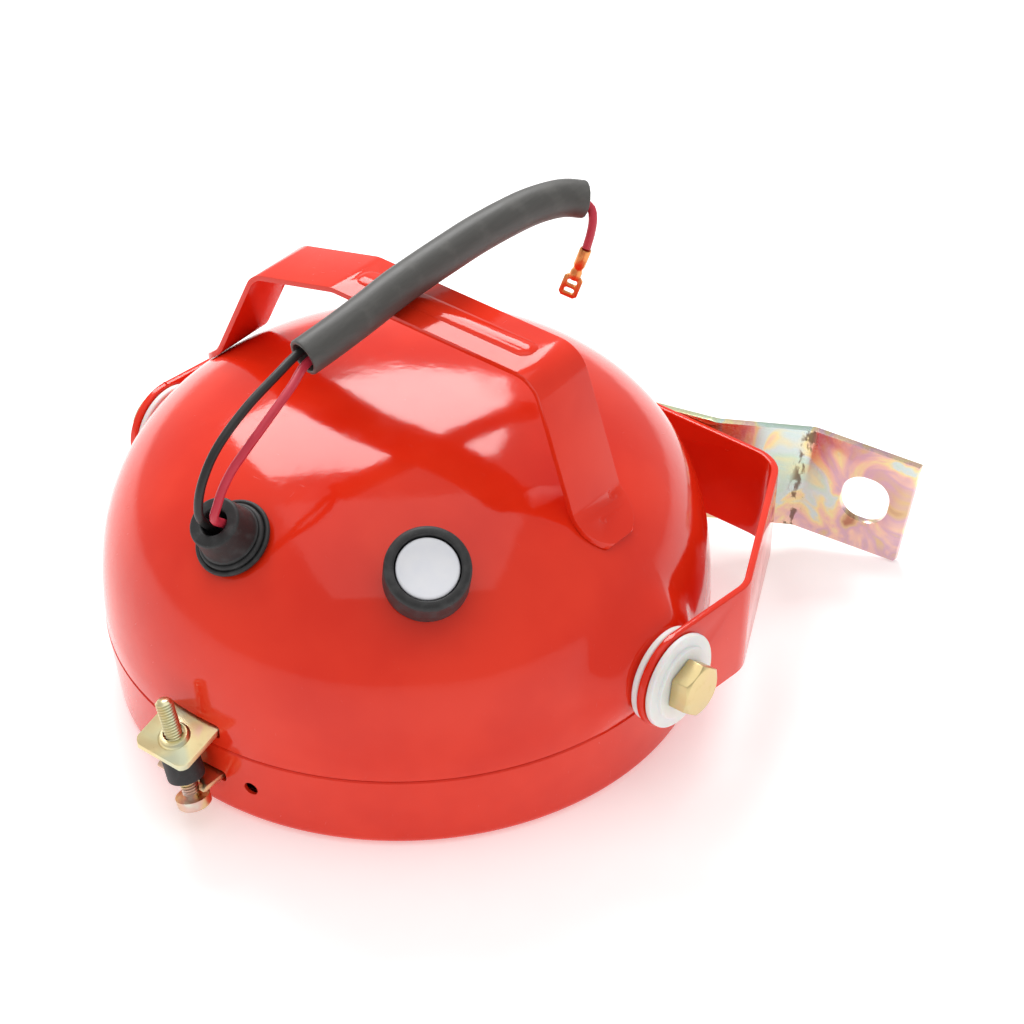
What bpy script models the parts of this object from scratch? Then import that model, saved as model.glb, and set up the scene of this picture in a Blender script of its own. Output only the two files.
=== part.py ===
"""Work lamp: a pressed steel bowl with a clamped rim and lens, a carrying handle, a push switch,
a lead through a grommet, and a tilting U bracket that carries a joggled mounting bracket.

The lamp lies on its lens. +Z is the optical axis towards the back of the bowl, X is the tilt pivot
of the U bracket, and the bracket's cross bar is at +Y. All sizes are in metres.
"""

import math

import bmesh
import bpy
from mathutils import Matrix, Vector

# Clearances
GAP = 0.0003            # between pieces that touch
FIT = 0.0004            # round a shank in its hole, on the radius
CUT = 0.002             # how far a cutter runs past the face it opens
SOFT = 0.0005           # chamfer that takes off a moulded edge

# Bowl: a superellipse turned about Z
BOWL_RADIUS = 0.0820
BOWL_RISE = 0.0633
BOWL_POWER = 2.72
BOWL_WALL = 0.0010
SHOULDER_BEND = 0.0440   # radius that the bowl's shoulder bends to
SHOULDER_WALL = 0.0014   # wall there, measured along a fitting's axis
SEAM_Z = 0.0234
SKIRT_INSET = 0.0019
SKIRT_DEPTH = 0.0060
BOWL_STEPS = 11

# Rim
RIM_TAPER = 0.0019       # how much narrower the rim is at the front than at the seam
RIM_FRONT_RADIUS = BOWL_RADIUS - RIM_TAPER
RIM_WALL = 0.0010
RIM_CORNER = 0.0030
RIM_LIP_WIDTH = 0.0091
LIP_OPENING = RIM_FRONT_RADIUS - RIM_LIP_WIDTH
DRAIN_RADIUS = 0.0020
DRAIN_X = 0.0152
DRAIN_Z = 0.0122

# Lens unit
LENS_CLEARANCE = 0.0009  # round the lens inside the lip
LENS_FACE_RADIUS = LIP_OPENING - LENS_CLEARANCE
FLANGE_OVERLAP = 0.0045  # how far the flange reaches over the lip
LENS_FLANGE_RADIUS = LIP_OPENING + FLANGE_OVERLAP
LENS_FLANGE = 0.0024
GASKET = 0.0010
LENS_TOP = RIM_WALL + GASKET + LENS_FLANGE + 2 * GAP
REFLECTOR_VERTEX = 0.0515
REFLECTOR_LEVEL = 0.0050  # height of the dish's mouth, on the lens's flange
REFLECTOR_MOUTH = LENS_FACE_RADIUS + 0.0008
REFLECTOR_FOCUS = REFLECTOR_MOUTH ** 2 / (4 * (REFLECTOR_VERTEX - REFLECTOR_LEVEL))
REFLECTOR_WALL = 0.0010
REFLECTOR_NECK = 0.0110
REFLECTOR_STEPS = 6
CLIP_WIDTH = 0.0080
CLIP_THICK = 0.0006
CLIP_COUNT = 4

# Bulb and holder
HOLDER_RADIUS = 0.0130
HOLDER_FLANGE = 0.0180
HOLDER_HEIGHT = 0.0120
BULB_BASE_RADIUS = 0.0085
BULB_GLASS_RADIUS = 0.0070
BULB_GLASS_ABOVE = 0.0150    # from the reflector's focus up to the bulb's cap
BULB_TIP_SHARE = 0.2300      # height of the glass's tip, as a share of the focus's height over the lens
SPRING_RADIUS = 0.0105
SPRING_THICK = 0.0010

# Pivot: boss, washers, arm, washer, bolt
PIVOT_Z = 0.0362
BOSS_PROUD = 0.0043      # from the bowl's widest line out to the boss's face
BOSS_SUNK = 0.0040       # from that line in to the cone's root
BOSS_FACE_X = BOWL_RADIUS + BOSS_PROUD
BOSS_ROOT_X = BOWL_RADIUS - BOSS_SUNK
BOSS_FACE_RADIUS = 0.0122
BOSS_ROOT_RADIUS = 0.0190
BOLT_RADIUS = 0.0039
WASHER_RADIUS = 0.0130
WASHER_THICK = 0.0019
HUB_RADIUS = 0.0100
HUB_HEIGHT = 0.0010
HEX_FLATS = 0.0130
HEAD_HEIGHT = 0.0053
NUT_HEIGHT = 0.0065
HEAD_TURN = math.radians(50)

# U bracket: flat strip on edge
ARM_THICK = 0.0020
STRIP_HEIGHT = 0.0270
BAR_CLEARANCE = 0.0030   # from the bowl's widest line to the bar's inner face
BAR_DISTANCE = BOWL_RADIUS + BAR_CLEARANCE + ARM_THICK
CHAMFER_START = 0.0310
BAR_HALF = 0.0600
BRACKET_BEND = 0.0120
BRACKET_TILT = math.radians(-5.2)

# Mounting bracket and its bolt
MOUNT_BOLT_X = 0.0220
MOUNT_BOLT_RADIUS = 0.0039
MOUNT_THICK = 0.0022
MOUNT_WIDTH = 0.0335
MOUNT_TAIL = 0.0100
MOUNT_TAIL_HALF = 0.0100
MOUNT_FLAT = 0.0120
MOUNT_RISE_ANGLE = math.radians(43)
MOUNT_RISE = 0.0290
MOUNT_END_ANGLE = math.radians(18)
MOUNT_END = 0.0315
MOUNT_BEND = 0.0050
MOUNT_SWIVEL = math.radians(8)
MOUNT_CORNER = 0.0012
SLOT_LENGTH = 0.0140
SLOT_WIDTH = 0.0150
SLOT_CORNER = 0.0062
SLOT_FROM_BEND = 0.0185
MOUNT_HEAD_HEIGHT = 0.0030
MOUNT_HEAD_RADIUS = 0.0075
MOUNT_WASHER_RADIUS = 0.0085
MOUNT_WASHER_THICK = 0.0016
MOUNT_BOLT_PROUD = 0.0060

# Handle
HANDLE_WIDTH = 0.0186
HANDLE_THICK = 0.0015
HANDLE_RISE = 0.0271     # from the top of the bowl to the top of the handle
HANDLE_TOP_Z = SEAM_Z + BOWL_RISE + HANDLE_RISE
HANDLE_TOP_X = 0.0490
HANDLE_EASE_X = -0.0180  # the top turns down a little past here
HANDLE_LEFT_X = -0.0465
HANDLE_LEFT_DROP = 0.0075
HANDLE_Y = 0.0048
FOOT_X = 0.0645
FOOT_HEEL = 0.0048
FOOT_TOE = 0.0062
HANDLE_BEND = 0.0080

# Switch, on the bowl at a radius and an angle from +X
SWITCH_RADIUS = 0.0631
SWITCH_ANGLE = math.radians(-43.4)
SWITCH_NECK = 0.0059
SWITCH_SHELF = 0.0016    # wall between the neck and the cap
SWITCH_BODY = 0.0090
SWITCH_BODY_LENGTH = 0.0180
BEZEL_RADIUS = 0.0110
BEZEL_HEIGHT = 0.0125
BEZEL_FLOOR = 0.0050
BEZEL_SOFT = 0.0016
CAP_RADIUS = 0.0080
CAP_FACE = 0.0116
CAP_DISC = 0.0030
CAP_TRAVEL = 0.0030
STEM_RADIUS = 0.0028

# Grommet, on the bowl at a radius and an angle from +X
GROMMET_RADIUS = 0.0616
GROMMET_ANGLE = math.radians(-92)
GROMMET_FLANGE = 0.0105
GROMMET_FLANGE_HEIGHT = 0.0028
GROMMET_EDGE = 0.0010
GROMMET_LIP = 0.0088
GROMMET_LIP_HEIGHT = 0.0020
GROMMET_WAIST = 0.0066
GROMMET_NECK_ROOT = 0.0082
GROMMET_NECK_TOP = 0.0070
GROMMET_HEIGHT = 0.0115
GROMMET_BORE = 0.0036
BORE_DEPTH = 0.0070

# Clamp at -Y: a screw through the rim's lug, a rubber spacer and the bowl's lug
CLAMP_X = -0.0020
CLAMP_STAND_OFF = 0.0065
CLAMP_Y = -(BOWL_RADIUS + CLAMP_STAND_OFF)
CLAMP_Z = 0.0262
CLAMP_LEAN = math.radians(-15)
LUG_WIDTH = 0.0178
LUG_THICK = 0.0016
LUG_BEND = 0.0024
LUG_SLOPE = math.radians(17)
LUG_REACH = 0.0066
LUG_HOOK = 0.0050
LUG_CORNER = 0.0030
LUG_TIP = math.acos(math.cos(LUG_SLOPE) * math.cos(CLAMP_LEAN))   # between the screw and the lug's normal
BOWL_SLOT_HEIGHT = 0.0042
SLOT_ROUND = 0.0010
SCREW_RADIUS = 0.0024
SCREW_TOP = 0.0117
SCREW_HEAD_RADIUS = 0.0046
SCREW_HEAD = 0.0030
SPACER_RADIUS = 0.0050
RIM_LUG_Z = 0.0126
RIM_LUG_BEND = 0.0011
RIM_LUG_WIDTH = 0.0166
RIM_LUG_SHORT = 0.0015    # how far its fork ends short of the screw's axis
RIM_LUG_TURN_DOWN = 0.0008
RIM_SLOT_HEIGHT = 0.0036
TONGUE_WIDTH = 0.0118
LUG_COLLAR_RADIUS = 0.0040
LUG_COLLAR = 0.0010
LUG_SLOT_LENGTH = LUG_WIDTH + 2 * FIT
SCREW_HOLE = SCREW_RADIUS + FIT

# Leads
WIRE_RADIUS = 0.0012
WIRE_STEP = 0.0060
LEAD_RADIUS = 0.0010
LEAD_SPACING = 0.0030
LEAD_STEP = 0.0060
SLEEVE_RADIUS = 0.0051
SLEEVE_BORE = 0.0040
SLEEVE_STEP = 0.0082
TERMINAL_BARREL = 0.0016
TERMINAL_BARREL_LENGTH = 0.0095
TERMINAL_WIDTH = 0.0052
TERMINAL_LENGTH = 0.0066
TERMINAL_THICK = 0.0008
TERMINAL_TURN = math.radians(70)
TAB_HOLE_WIDTH = 0.0027
TAB_HOLE_HEIGHT = 0.0015
TAB_HOLE_ROUND = 0.0006
TAB_HOLE_SPACING = 0.0026

# Routes of the leads, chosen by hand, from the grommet outwards
SLEEVE_ROUTE = [
    (-0.0019, -0.0330, 0.1140),
    (-0.0001, -0.0232, 0.1162),
    (0.0011, -0.0127, 0.1182),
    (0.0018, -0.0014, 0.1200),
    (0.0026, 0.0098, 0.1211),
    (0.0033, 0.0180, 0.1218),
    (0.0039, 0.0261, 0.1223),
    (0.0049, 0.0352, 0.1226),
    (0.0060, 0.0447, 0.1224),
    (0.0074, 0.0518, 0.1218),
    (0.0093, 0.0577, 0.1208),
    (0.0123, 0.0620, 0.1194),
]
BLACK_ROUTE = [
    (-0.0039, -0.0653, 0.0773),
    (-0.0040, -0.0676, 0.0806),
    (-0.0030, -0.0718, 0.0862),
    (-0.0031, -0.0721, 0.0895),
    (-0.0031, -0.0713, 0.0934),
    (-0.0030, -0.0693, 0.0977),
    (-0.0030, -0.0657, 0.1021),
    (-0.0029, -0.0605, 0.1060),
    (-0.0029, -0.0520, 0.1100),
    (-0.0029, -0.0421, 0.1130),
    (-0.0032, -0.0330, 0.1150),
    (-0.0014, -0.0232, 0.1172),
    (-0.0002, -0.0127, 0.1192),
    (0.0005, -0.0014, 0.1210),
    (0.0013, 0.0098, 0.1221),
    (0.0020, 0.0180, 0.1228),
    (0.0026, 0.0261, 0.1233),
    (0.0036, 0.0352, 0.1236),
    (0.0046, 0.0449, 0.1234),
    (0.0058, 0.0510, 0.1229),
]
RED_ROUTE = [
    (-0.0006, -0.0635, 0.0787),
    (-0.0007, -0.0658, 0.0820),
    (0.0001, -0.0701, 0.0864),
    (0.0002, -0.0688, 0.0899),
    (0.0003, -0.0666, 0.0937),
    (0.0007, -0.0632, 0.0978),
    (0.0016, -0.0586, 0.1019),
    (0.0022, -0.0546, 0.1050),
    (0.0023, -0.0486, 0.1084),
    (0.0013, -0.0407, 0.1112),
    (-0.0006, -0.0330, 0.1130),
    (0.0012, -0.0232, 0.1152),
    (0.0024, -0.0127, 0.1172),
    (0.0031, -0.0014, 0.1190),
    (0.0039, 0.0098, 0.1201),
    (0.0046, 0.0180, 0.1208),
    (0.0052, 0.0261, 0.1213),
    (0.0062, 0.0352, 0.1216),
    (0.0073, 0.0447, 0.1214),
    (0.0087, 0.0515, 0.1208),
    (0.0106, 0.0570, 0.1198),
    (0.0127, 0.0610, 0.1190),
    (0.0147, 0.0620, 0.1175),
    (0.0158, 0.0613, 0.1148),
    (0.0160, 0.0601, 0.1112),
    (0.0157, 0.0586, 0.1072),
]
TERMINAL_DIRECTION = Vector((-0.24, -0.25, -0.93))

# Roundness
BIG_ROUND = 48
REFLECTOR_ROUND = 32
ROUND = 20
SMALL_ROUND = 16
SLEEVE_ROUND = 12
ARC_STEPS = 3

FINISHES = {
    "red_paint": ((0.74, 0.035, 0.015, 1), 0.22, 0.0),
    "yellow_zinc": ((0.62, 0.52, 0.30, 1), 0.30, 1.0),
    "nylon": ((0.86, 0.86, 0.83, 1), 0.45, 0.0),
    "black_rubber": ((0.018, 0.018, 0.019, 1), 0.62, 0.0),
    "grey_pvc": ((0.085, 0.083, 0.078, 1), 0.50, 0.0),
    "black_wire": ((0.012, 0.011, 0.011, 1), 0.40, 0.0),
    "red_wire": ((0.62, 0.035, 0.055, 1), 0.40, 0.0),
    "copper": ((0.80, 0.33, 0.12, 1), 0.28, 1.0),
    "white_cap": ((0.80, 0.81, 0.85, 1), 0.30, 0.0),
    "black_moulding": ((0.020, 0.020, 0.020, 1), 0.40, 0.0),
    "lens_glass": ((0.82, 0.88, 0.90, 1), 0.05, 0.0),
    "reflector_silver": ((0.85, 0.86, 0.88, 1), 0.06, 1.0),
    "bulb_glass": ((0.95, 0.96, 0.97, 1), 0.03, 0.0),
    "brass": ((0.72, 0.53, 0.22, 1), 0.30, 1.0),
    "spring_steel": ((0.55, 0.56, 0.58, 1), 0.30, 1.0),
}


# ---------------------------------------------------------------- shared helpers

def clear_scene():
    for old in list(bpy.data.objects):
        bpy.data.objects.remove(old, do_unlink=True)


def finish(name):
    found = bpy.data.materials.get(name)
    if found:
        return found
    colour, roughness, metallic = FINISHES[name]
    material = bpy.data.materials.new(name)
    material.use_nodes = True
    shader = material.node_tree.nodes["Principled BSDF"]
    shader.inputs["Base Color"].default_value = colour
    shader.inputs["Roughness"].default_value = roughness
    shader.inputs["Metallic"].default_value = metallic
    return material


def place(obj, parent=None):
    """Links an object into the scene, under a parent empty when one is given."""
    bpy.context.scene.collection.objects.link(obj)
    if parent:
        obj.parent = parent
    return obj


def from_bmesh(name, mesh_data, material_name, parent=None, smooth_angle=30):
    """Makes a named object of a bmesh, with its faces pointing out."""
    bmesh.ops.recalc_face_normals(mesh_data, faces=mesh_data.faces)
    mesh = bpy.data.meshes.new(name)
    mesh_data.to_mesh(mesh)
    mesh_data.free()
    mesh.shade_smooth()
    mesh.set_sharp_from_angle(angle=math.radians(smooth_angle))
    if material_name:
        mesh.materials.append(finish(material_name))
    return place(bpy.data.objects.new(name, mesh), parent)


def share(name, original, parent=None):
    """Another object of the same mesh."""
    return place(bpy.data.objects.new(name, original.data), parent)


def empty(name, matrix):
    holder = bpy.data.objects.new(name, None)
    holder.matrix_world = matrix
    return place(holder)


def lathe_mesh(profile, segments):
    """A closed body turned about Z from a closed (radius, height) outline; a radius of 0 is a pole."""
    turned = bmesh.new()
    rings = []
    for radius, height in profile:
        if radius == 0:
            rings.append([turned.verts.new((0, 0, height))])
            continue
        steps = [2 * math.pi * i / segments for i in range(segments)]
        rings.append([turned.verts.new((radius * math.cos(a), radius * math.sin(a), height)) for a in steps])
    pairs = list(zip(rings, rings[1:] + rings[:1]))
    for lower, upper in pairs:
        for i in range(segments):
            j = (i + 1) % segments
            if len(lower) == 1 and len(upper) == 1:
                break
            if len(lower) == 1:
                turned.faces.new((lower[0], upper[i], upper[j]))
            elif len(upper) == 1:
                turned.faces.new((lower[i], lower[j], upper[0]))
            else:
                turned.faces.new((lower[i], lower[j], upper[j], upper[i]))
    return turned


def lathe(name, profile, material_name, parent=None, segments=ROUND):
    return from_bmesh(name, lathe_mesh(profile, segments), material_name, parent)


def hexagon(flats, turn=0.0):
    radius = flats / math.sqrt(3)
    angles = [turn + math.pi / 3 * i for i in range(6)]
    return [(radius * math.cos(a), radius * math.sin(a)) for a in angles]


def arc_points(centre, radius, start, end, steps=ARC_STEPS):
    angles = [start + (end - start) * i / steps for i in range(steps + 1)]
    return [(centre[0] + radius * math.cos(a), centre[1] + radius * math.sin(a)) for a in angles]


def rounded_rectangle(length, width, corner):
    """Outline about the origin, anticlockwise."""
    points = []
    centres = [(1, 1, 0), (-1, 1, 1), (-1, -1, 2), (1, -1, 3)]
    for side_x, side_y, quarter in centres:
        centre = (side_x * (length / 2 - corner), side_y * (width / 2 - corner))
        points += arc_points(centre, corner, quarter * math.pi / 2, (quarter + 1) * math.pi / 2)
    return points


def bent_path(corners, bend):
    """A path through the corners with each inner corner turned into an arc of the bend radius."""
    path = [Vector(corners[0])]
    for before, corner, after in zip(corners, corners[1:], corners[2:]):
        before, corner, after = Vector(before), Vector(corner), Vector(after)
        incoming = (corner - before).normalized()
        outgoing = (after - corner).normalized()
        turn = incoming.angle_signed(outgoing)
        setback = bend * math.tan(abs(turn) / 2)
        start = corner - incoming * setback
        side = math.copysign(1, turn)
        centre = start + Vector((incoming.y, -incoming.x)) * bend * side
        first = math.atan2(start.y - centre.y, start.x - centre.x)
        path += [Vector(p) for p in arc_points(centre, bend, first, first - turn)]
    path.append(Vector(corners[-1]))
    return path


def strip_outline(corners, bend, thickness):
    """Outline of a strip of the given thickness whose middle line follows the bent path."""
    path = bent_path(corners, bend)
    left, right = [], []
    for i, point in enumerate(path):
        ahead = path[min(i + 1, len(path) - 1)]
        behind = path[max(i - 1, 0)]
        along = (ahead - behind).normalized()
        across = Vector((-along.y, along.x)) * thickness / 2
        left.append(point + across)
        right.append(point - across)
    return left + right[::-1]


def prism_mesh(outline, low, high, matrix=None):
    """A prism of a flat outline, from low to high along the outline's own Z."""
    prism = bmesh.new()
    bottom = [prism.verts.new((p[0], p[1], low)) for p in outline]
    top = [prism.verts.new((p[0], p[1], high)) for p in outline]
    prism.faces.new(bottom)
    prism.faces.new(top)
    for i in range(len(outline)):
        j = (i + 1) % len(outline)
        prism.faces.new((bottom[i], bottom[j], top[j], top[i]))
    if matrix:
        prism.transform(matrix)
    return prism


def prism(name, outline, low, high, material_name, parent=None, matrix=None):
    return from_bmesh(name, prism_mesh(outline, low, high, matrix), material_name, parent)


def circle(radius, segments=SMALL_ROUND):
    angles = [2 * math.pi * i / segments for i in range(segments)]
    return [(radius * math.cos(a), radius * math.sin(a)) for a in angles]


def boolean(target, tool, operation):
    """Keeps a live Boolean on the target; the tool is a guide and not a piece."""
    tool.hide_render = True
    tool.display_type = "WIRE"
    modifier = target.modifiers.new(tool.name, "BOOLEAN")
    modifier.operation = operation
    modifier.solver = "EXACT"
    modifier.object = tool


def drill(target, name, outline, low, high, matrix, parent=None):
    """Cuts a prism-shaped hole through a piece."""
    boolean(target, prism(name, outline, low, high, None, parent, matrix), "DIFFERENCE")


def along_x(x=0.0, y=0.0, z=0.0):
    """Turns an outline drawn in XY so that it faces +X at the given point."""
    return Matrix.Translation((x, y, z)) @ Matrix.Rotation(math.pi / 2, 4, "Y")


SIDE_VIEW = Matrix(((0, 0, 1, 0), (1, 0, 0, 0), (0, 1, 0, 0), (0, 0, 0, 1)))    # outline (y, z), depth x
FRONT_VIEW = Matrix(((1, 0, 0, 0), (0, 0, -1, 0), (0, 1, 0, 0), (0, 0, 0, 1)))  # outline (x, z), depth -y


def bowl_height(radius, shrink=0.0):
    """Height of the bowl's outer surface over a radius, or of a surface that much inside it."""
    share_out = min(radius / (BOWL_RADIUS - shrink), 1.0) ** BOWL_POWER
    return SEAM_Z + (BOWL_RISE - shrink) * (1 - share_out) ** (1 / BOWL_POWER)


def bowl_slope(radius):
    """Angle between the bowl's outward normal and +Z at a radius."""
    across = (radius / BOWL_RADIUS) ** (BOWL_POWER - 1) / BOWL_RADIUS
    up = ((bowl_height(radius) - SEAM_Z) / BOWL_RISE) ** (BOWL_POWER - 1) / BOWL_RISE
    return math.atan2(across, up)


def bowl_frame(radius, angle):
    """Frame on the bowl's outer surface, with its Z along the outward normal."""
    spot = Matrix.Rotation(angle, 4, "Z") @ Matrix.Translation((radius, 0, bowl_height(radius)))
    return spot @ Matrix.Rotation(bowl_slope(radius), 4, "Y")


def under_wall(radius):
    """Height in a bowl frame that clears the inside of the wall out to a radius."""
    return -(SHOULDER_WALL + radius ** 2 / (2 * SHOULDER_BEND) + GAP)


def smooth_route(points, spacing):
    """Points along a smooth curve through the route, about one spacing apart."""
    route = [Vector(p) for p in points]
    route = [2 * route[0] - route[1]] + route + [2 * route[-1] - route[-2]]
    fine = []
    for a, b, c, d in zip(route, route[1:], route[2:], route[3:]):
        steps = max(1, round((c - b).length / spacing))
        for i in range(steps):
            t = i / steps
            fine.append(0.5 * (2 * b + (c - a) * t + (2 * a - 5 * b + 4 * c - d) * t ** 2
                               + (3 * b - a - 3 * c + d) * t ** 3))
    fine.append(route[-2])
    return fine


def cord(name, points, radius, material_name, spacing):
    """A round lead along a smooth route, as a bevelled curve with filled caps."""
    route = smooth_route(points, spacing)
    curve = bpy.data.curves.new(name, "CURVE")
    curve.dimensions = "3D"
    curve.bevel_depth = radius
    curve.bevel_resolution = 2
    curve.use_fill_caps = True
    spline = curve.splines.new("POLY")
    spline.points.add(len(route) - 1)
    for spline_point, place_on_route in zip(spline.points, route):
        spline_point.co = (*place_on_route, 1)
    curve.materials.append(finish(material_name))
    return place(bpy.data.objects.new(name, curve))


def turned_frames(path):
    """Two directions across the path at each point, carried along it without twist."""
    frames = []
    across = None
    for i, point in enumerate(path):
        along = (path[min(i + 1, len(path) - 1)] - path[max(i - 1, 0)]).normalized()
        if across is None:
            across = along.orthogonal().normalized()
        across = (across - along * across.dot(along)).normalized()
        frames.append((point, across, along.cross(across)))
    return frames


def hollow_tube(name, points, radius, bore, material_name, spacing):
    """A tube with an open bore along a smooth route."""
    tube = bmesh.new()
    frames = turned_frames(smooth_route(points, spacing))
    angles = [2 * math.pi * i / SLEEVE_ROUND for i in range(SLEEVE_ROUND)]
    skins = []
    for skin_radius in (radius, bore):
        skins.append([[tube.verts.new(p + (u * math.cos(a) + v * math.sin(a)) * skin_radius) for a in angles]
                      for p, u, v in frames])
    outer, inner = skins
    loops = outer + inner[::-1]
    for ring, following in zip(loops, loops[1:] + loops[:1]):
        for i in range(SLEEVE_ROUND):
            j = (i + 1) % SLEEVE_ROUND
            tube.faces.new((ring[i], ring[j], following[j], following[i]))
    return from_bmesh(name, tube, material_name)


# ---------------------------------------------------------------- bowl and rim

def bowl_profile():
    """Closed outline of the bowl's wall: the outer dome, the joggled skirt, then the inner dome."""
    quarter = [math.pi / 2 * i / BOWL_STEPS for i in range(BOWL_STEPS + 1)]

    def dome(shrink, angle):
        radius = (BOWL_RADIUS - shrink) * math.sin(angle) ** (2 / BOWL_POWER)
        return (radius, SEAM_Z + (BOWL_RISE - shrink) * math.cos(angle) ** (2 / BOWL_POWER))

    outer = [dome(0, angle) for angle in quarter[1:-1]]
    inner = [dome(BOWL_WALL, angle) for angle in quarter[1:-1]]
    skirt_outer = BOWL_RADIUS - SKIRT_INSET
    skirt_inner = skirt_outer - BOWL_WALL
    foot = [
        (BOWL_RADIUS, SEAM_Z),
        (skirt_outer, SEAM_Z),
        (skirt_outer, SEAM_Z - SKIRT_DEPTH),
        (skirt_inner, SEAM_Z - SKIRT_DEPTH),
        (skirt_inner, SEAM_Z + BOWL_WALL),
        (BOWL_RADIUS - BOWL_WALL, SEAM_Z + BOWL_WALL),
    ]
    inner = [point for point in inner if point[1] > SEAM_Z + 2 * BOWL_WALL]
    top = SEAM_Z + BOWL_RISE
    return [(0, top)] + outer + foot + inner[::-1] + [(0, top - BOWL_WALL)]


def boss_tool(side):
    """Cone that the pivot stands on, cut off flat just above the seam."""
    length = BOSS_FACE_X - BOSS_ROOT_X
    profile = [(0, 0), (BOSS_ROOT_RADIUS, 0), (BOSS_FACE_RADIUS, length), (0, length)]
    cone = lathe_mesh(profile, ROUND)
    root = Matrix.Translation((side * BOSS_ROOT_X, 0, PIVOT_Z))
    cone.transform(root @ Matrix.Rotation(side * math.pi / 2, 4, "Y"))
    geometry = cone.verts[:] + cone.edges[:] + cone.faces[:]
    level = (0, 0, SEAM_Z + GAP)
    cut = bmesh.ops.bisect_plane(cone, geom=geometry, plane_co=level, plane_no=(0, 0, -1), clear_outer=True)
    edges = [item for item in cut["geom_cut"] if isinstance(item, bmesh.types.BMEdge)]
    bmesh.ops.holes_fill(cone, edges=edges, sides=0)
    return from_bmesh(f"boss_{side}", cone, None)


def make_bowl(switch_seat, grommet_seat):
    """Bowl with a boss for each pivot, and holes for the pivots, the switch, the grommet and the lug."""
    bowl = lathe("bowl", bowl_profile(), "red_paint", segments=BIG_ROUND)
    for side in (-1, 1):
        boolean(bowl, boss_tool(side), "UNION")
    reach = BOSS_FACE_X + CUT
    drill(bowl, "pivot_drill", circle(BOLT_RADIUS + FIT), -reach, reach, along_x(z=PIVOT_Z))
    drill(bowl, "switch_drill", circle(SWITCH_NECK + FIT), -SWITCH_BODY, SWITCH_BODY, None, switch_seat)
    drill(bowl, "grommet_drill", circle(GROMMET_WAIST + GAP), -GROMMET_LIP, GROMMET_LIP, None, grommet_seat)
    slot = rounded_rectangle(LUG_SLOT_LENGTH, BOWL_SLOT_HEIGHT, SLOT_ROUND)
    entry_z = CLAMP_Z + CLAMP_STAND_OFF * math.tan(LUG_SLOPE)
    middle = Matrix.Translation((CLAMP_X, -BOWL_RADIUS, entry_z))
    drill(bowl, "bowl_slot_cut", slot, -2 * CUT, 2 * CUT, middle @ FRONT_VIEW)


def rim_profile():
    """Closed outline of the rim's wall, from its top edge down the outside, round the lip and back."""
    top = SEAM_Z - GAP
    corner = (RIM_FRONT_RADIUS - RIM_CORNER, RIM_CORNER)
    outer_turn = arc_points(corner, RIM_CORNER, 0, -math.pi / 2)
    inner_turn = arc_points(corner, RIM_CORNER - RIM_WALL, -math.pi / 2, 0)
    lip = [(LIP_OPENING, 0), (LIP_OPENING, RIM_WALL)]
    return [(BOWL_RADIUS, top)] + outer_turn + lip + inner_turn + [(BOWL_RADIUS - RIM_WALL, top)]


def make_rim():
    """Front rim with a drain hole and a slot for its lug."""
    rim = lathe("rim", rim_profile(), "red_paint", segments=BIG_ROUND)
    drain_y = -math.sqrt(BOWL_RADIUS ** 2 - DRAIN_X ** 2)
    turn = Matrix.Rotation(math.atan2(DRAIN_X, -drain_y), 4, "Z")
    seat = Matrix.Translation((DRAIN_X, drain_y, DRAIN_Z)) @ turn @ FRONT_VIEW
    drill(rim, "drain_drill", circle(DRAIN_RADIUS), -2 * CUT, 2 * CUT, seat)
    slot = rounded_rectangle(LUG_SLOT_LENGTH, RIM_SLOT_HEIGHT, SLOT_ROUND)
    middle = Matrix.Translation((CLAMP_X, -BOWL_RADIUS, RIM_LUG_Z))
    drill(rim, "rim_slot_cut", slot, -2 * CUT, 2 * CUT, middle @ FRONT_VIEW)


# ---------------------------------------------------------------- lens unit

def make_lens_unit():
    """Lens, gasket, reflector and the four spring clips that hold them in the rim."""
    gasket_low = RIM_WALL + GAP
    gasket_high = gasket_low + GASKET
    gasket_inner = LIP_OPENING + GAP
    gasket = [(gasket_inner, gasket_low), (LENS_FLANGE_RADIUS, gasket_low),
              (LENS_FLANGE_RADIUS, gasket_high), (gasket_inner, gasket_high)]
    lathe("lens_gasket", gasket, "black_rubber", segments=REFLECTOR_ROUND)
    flange_low = gasket_high + GAP
    flange_high = LENS_TOP
    lens = [(0, 0), (LENS_FACE_RADIUS, 0), (LENS_FACE_RADIUS, flange_low), (LENS_FLANGE_RADIUS, flange_low),
            (LENS_FLANGE_RADIUS, flange_high), (0, flange_high)]
    lathe("lens", lens, "lens_glass", segments=REFLECTOR_ROUND)
    make_reflector(flange_high + GAP)
    make_clips(flange_high + GAP + REFLECTOR_WALL + GAP)


def reflector_height(radius):
    return REFLECTOR_VERTEX - radius ** 2 / (4 * REFLECTOR_FOCUS)


def make_reflector(seat):
    """Parabolic dish with a flat flange on the lens and an open neck for the bulb."""
    mouth = 2 * math.sqrt(REFLECTOR_FOCUS * (REFLECTOR_VERTEX - seat))
    steps = range(REFLECTOR_STEPS + 1)
    radii = [mouth + (REFLECTOR_NECK - mouth) * i / REFLECTOR_STEPS for i in steps]
    inner = [(radius, reflector_height(radius)) for radius in radii]
    outer = [(radius, reflector_height(radius) + REFLECTOR_WALL) for radius in radii[1:]]
    flange = [(LENS_FLANGE_RADIUS, seat), (LENS_FLANGE_RADIUS, seat + REFLECTOR_WALL),
              (mouth + REFLECTOR_WALL, seat + REFLECTOR_WALL)]
    lathe("reflector", inner + outer[::-1] + flange[::-1], "reflector_silver", segments=REFLECTOR_ROUND)


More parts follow.
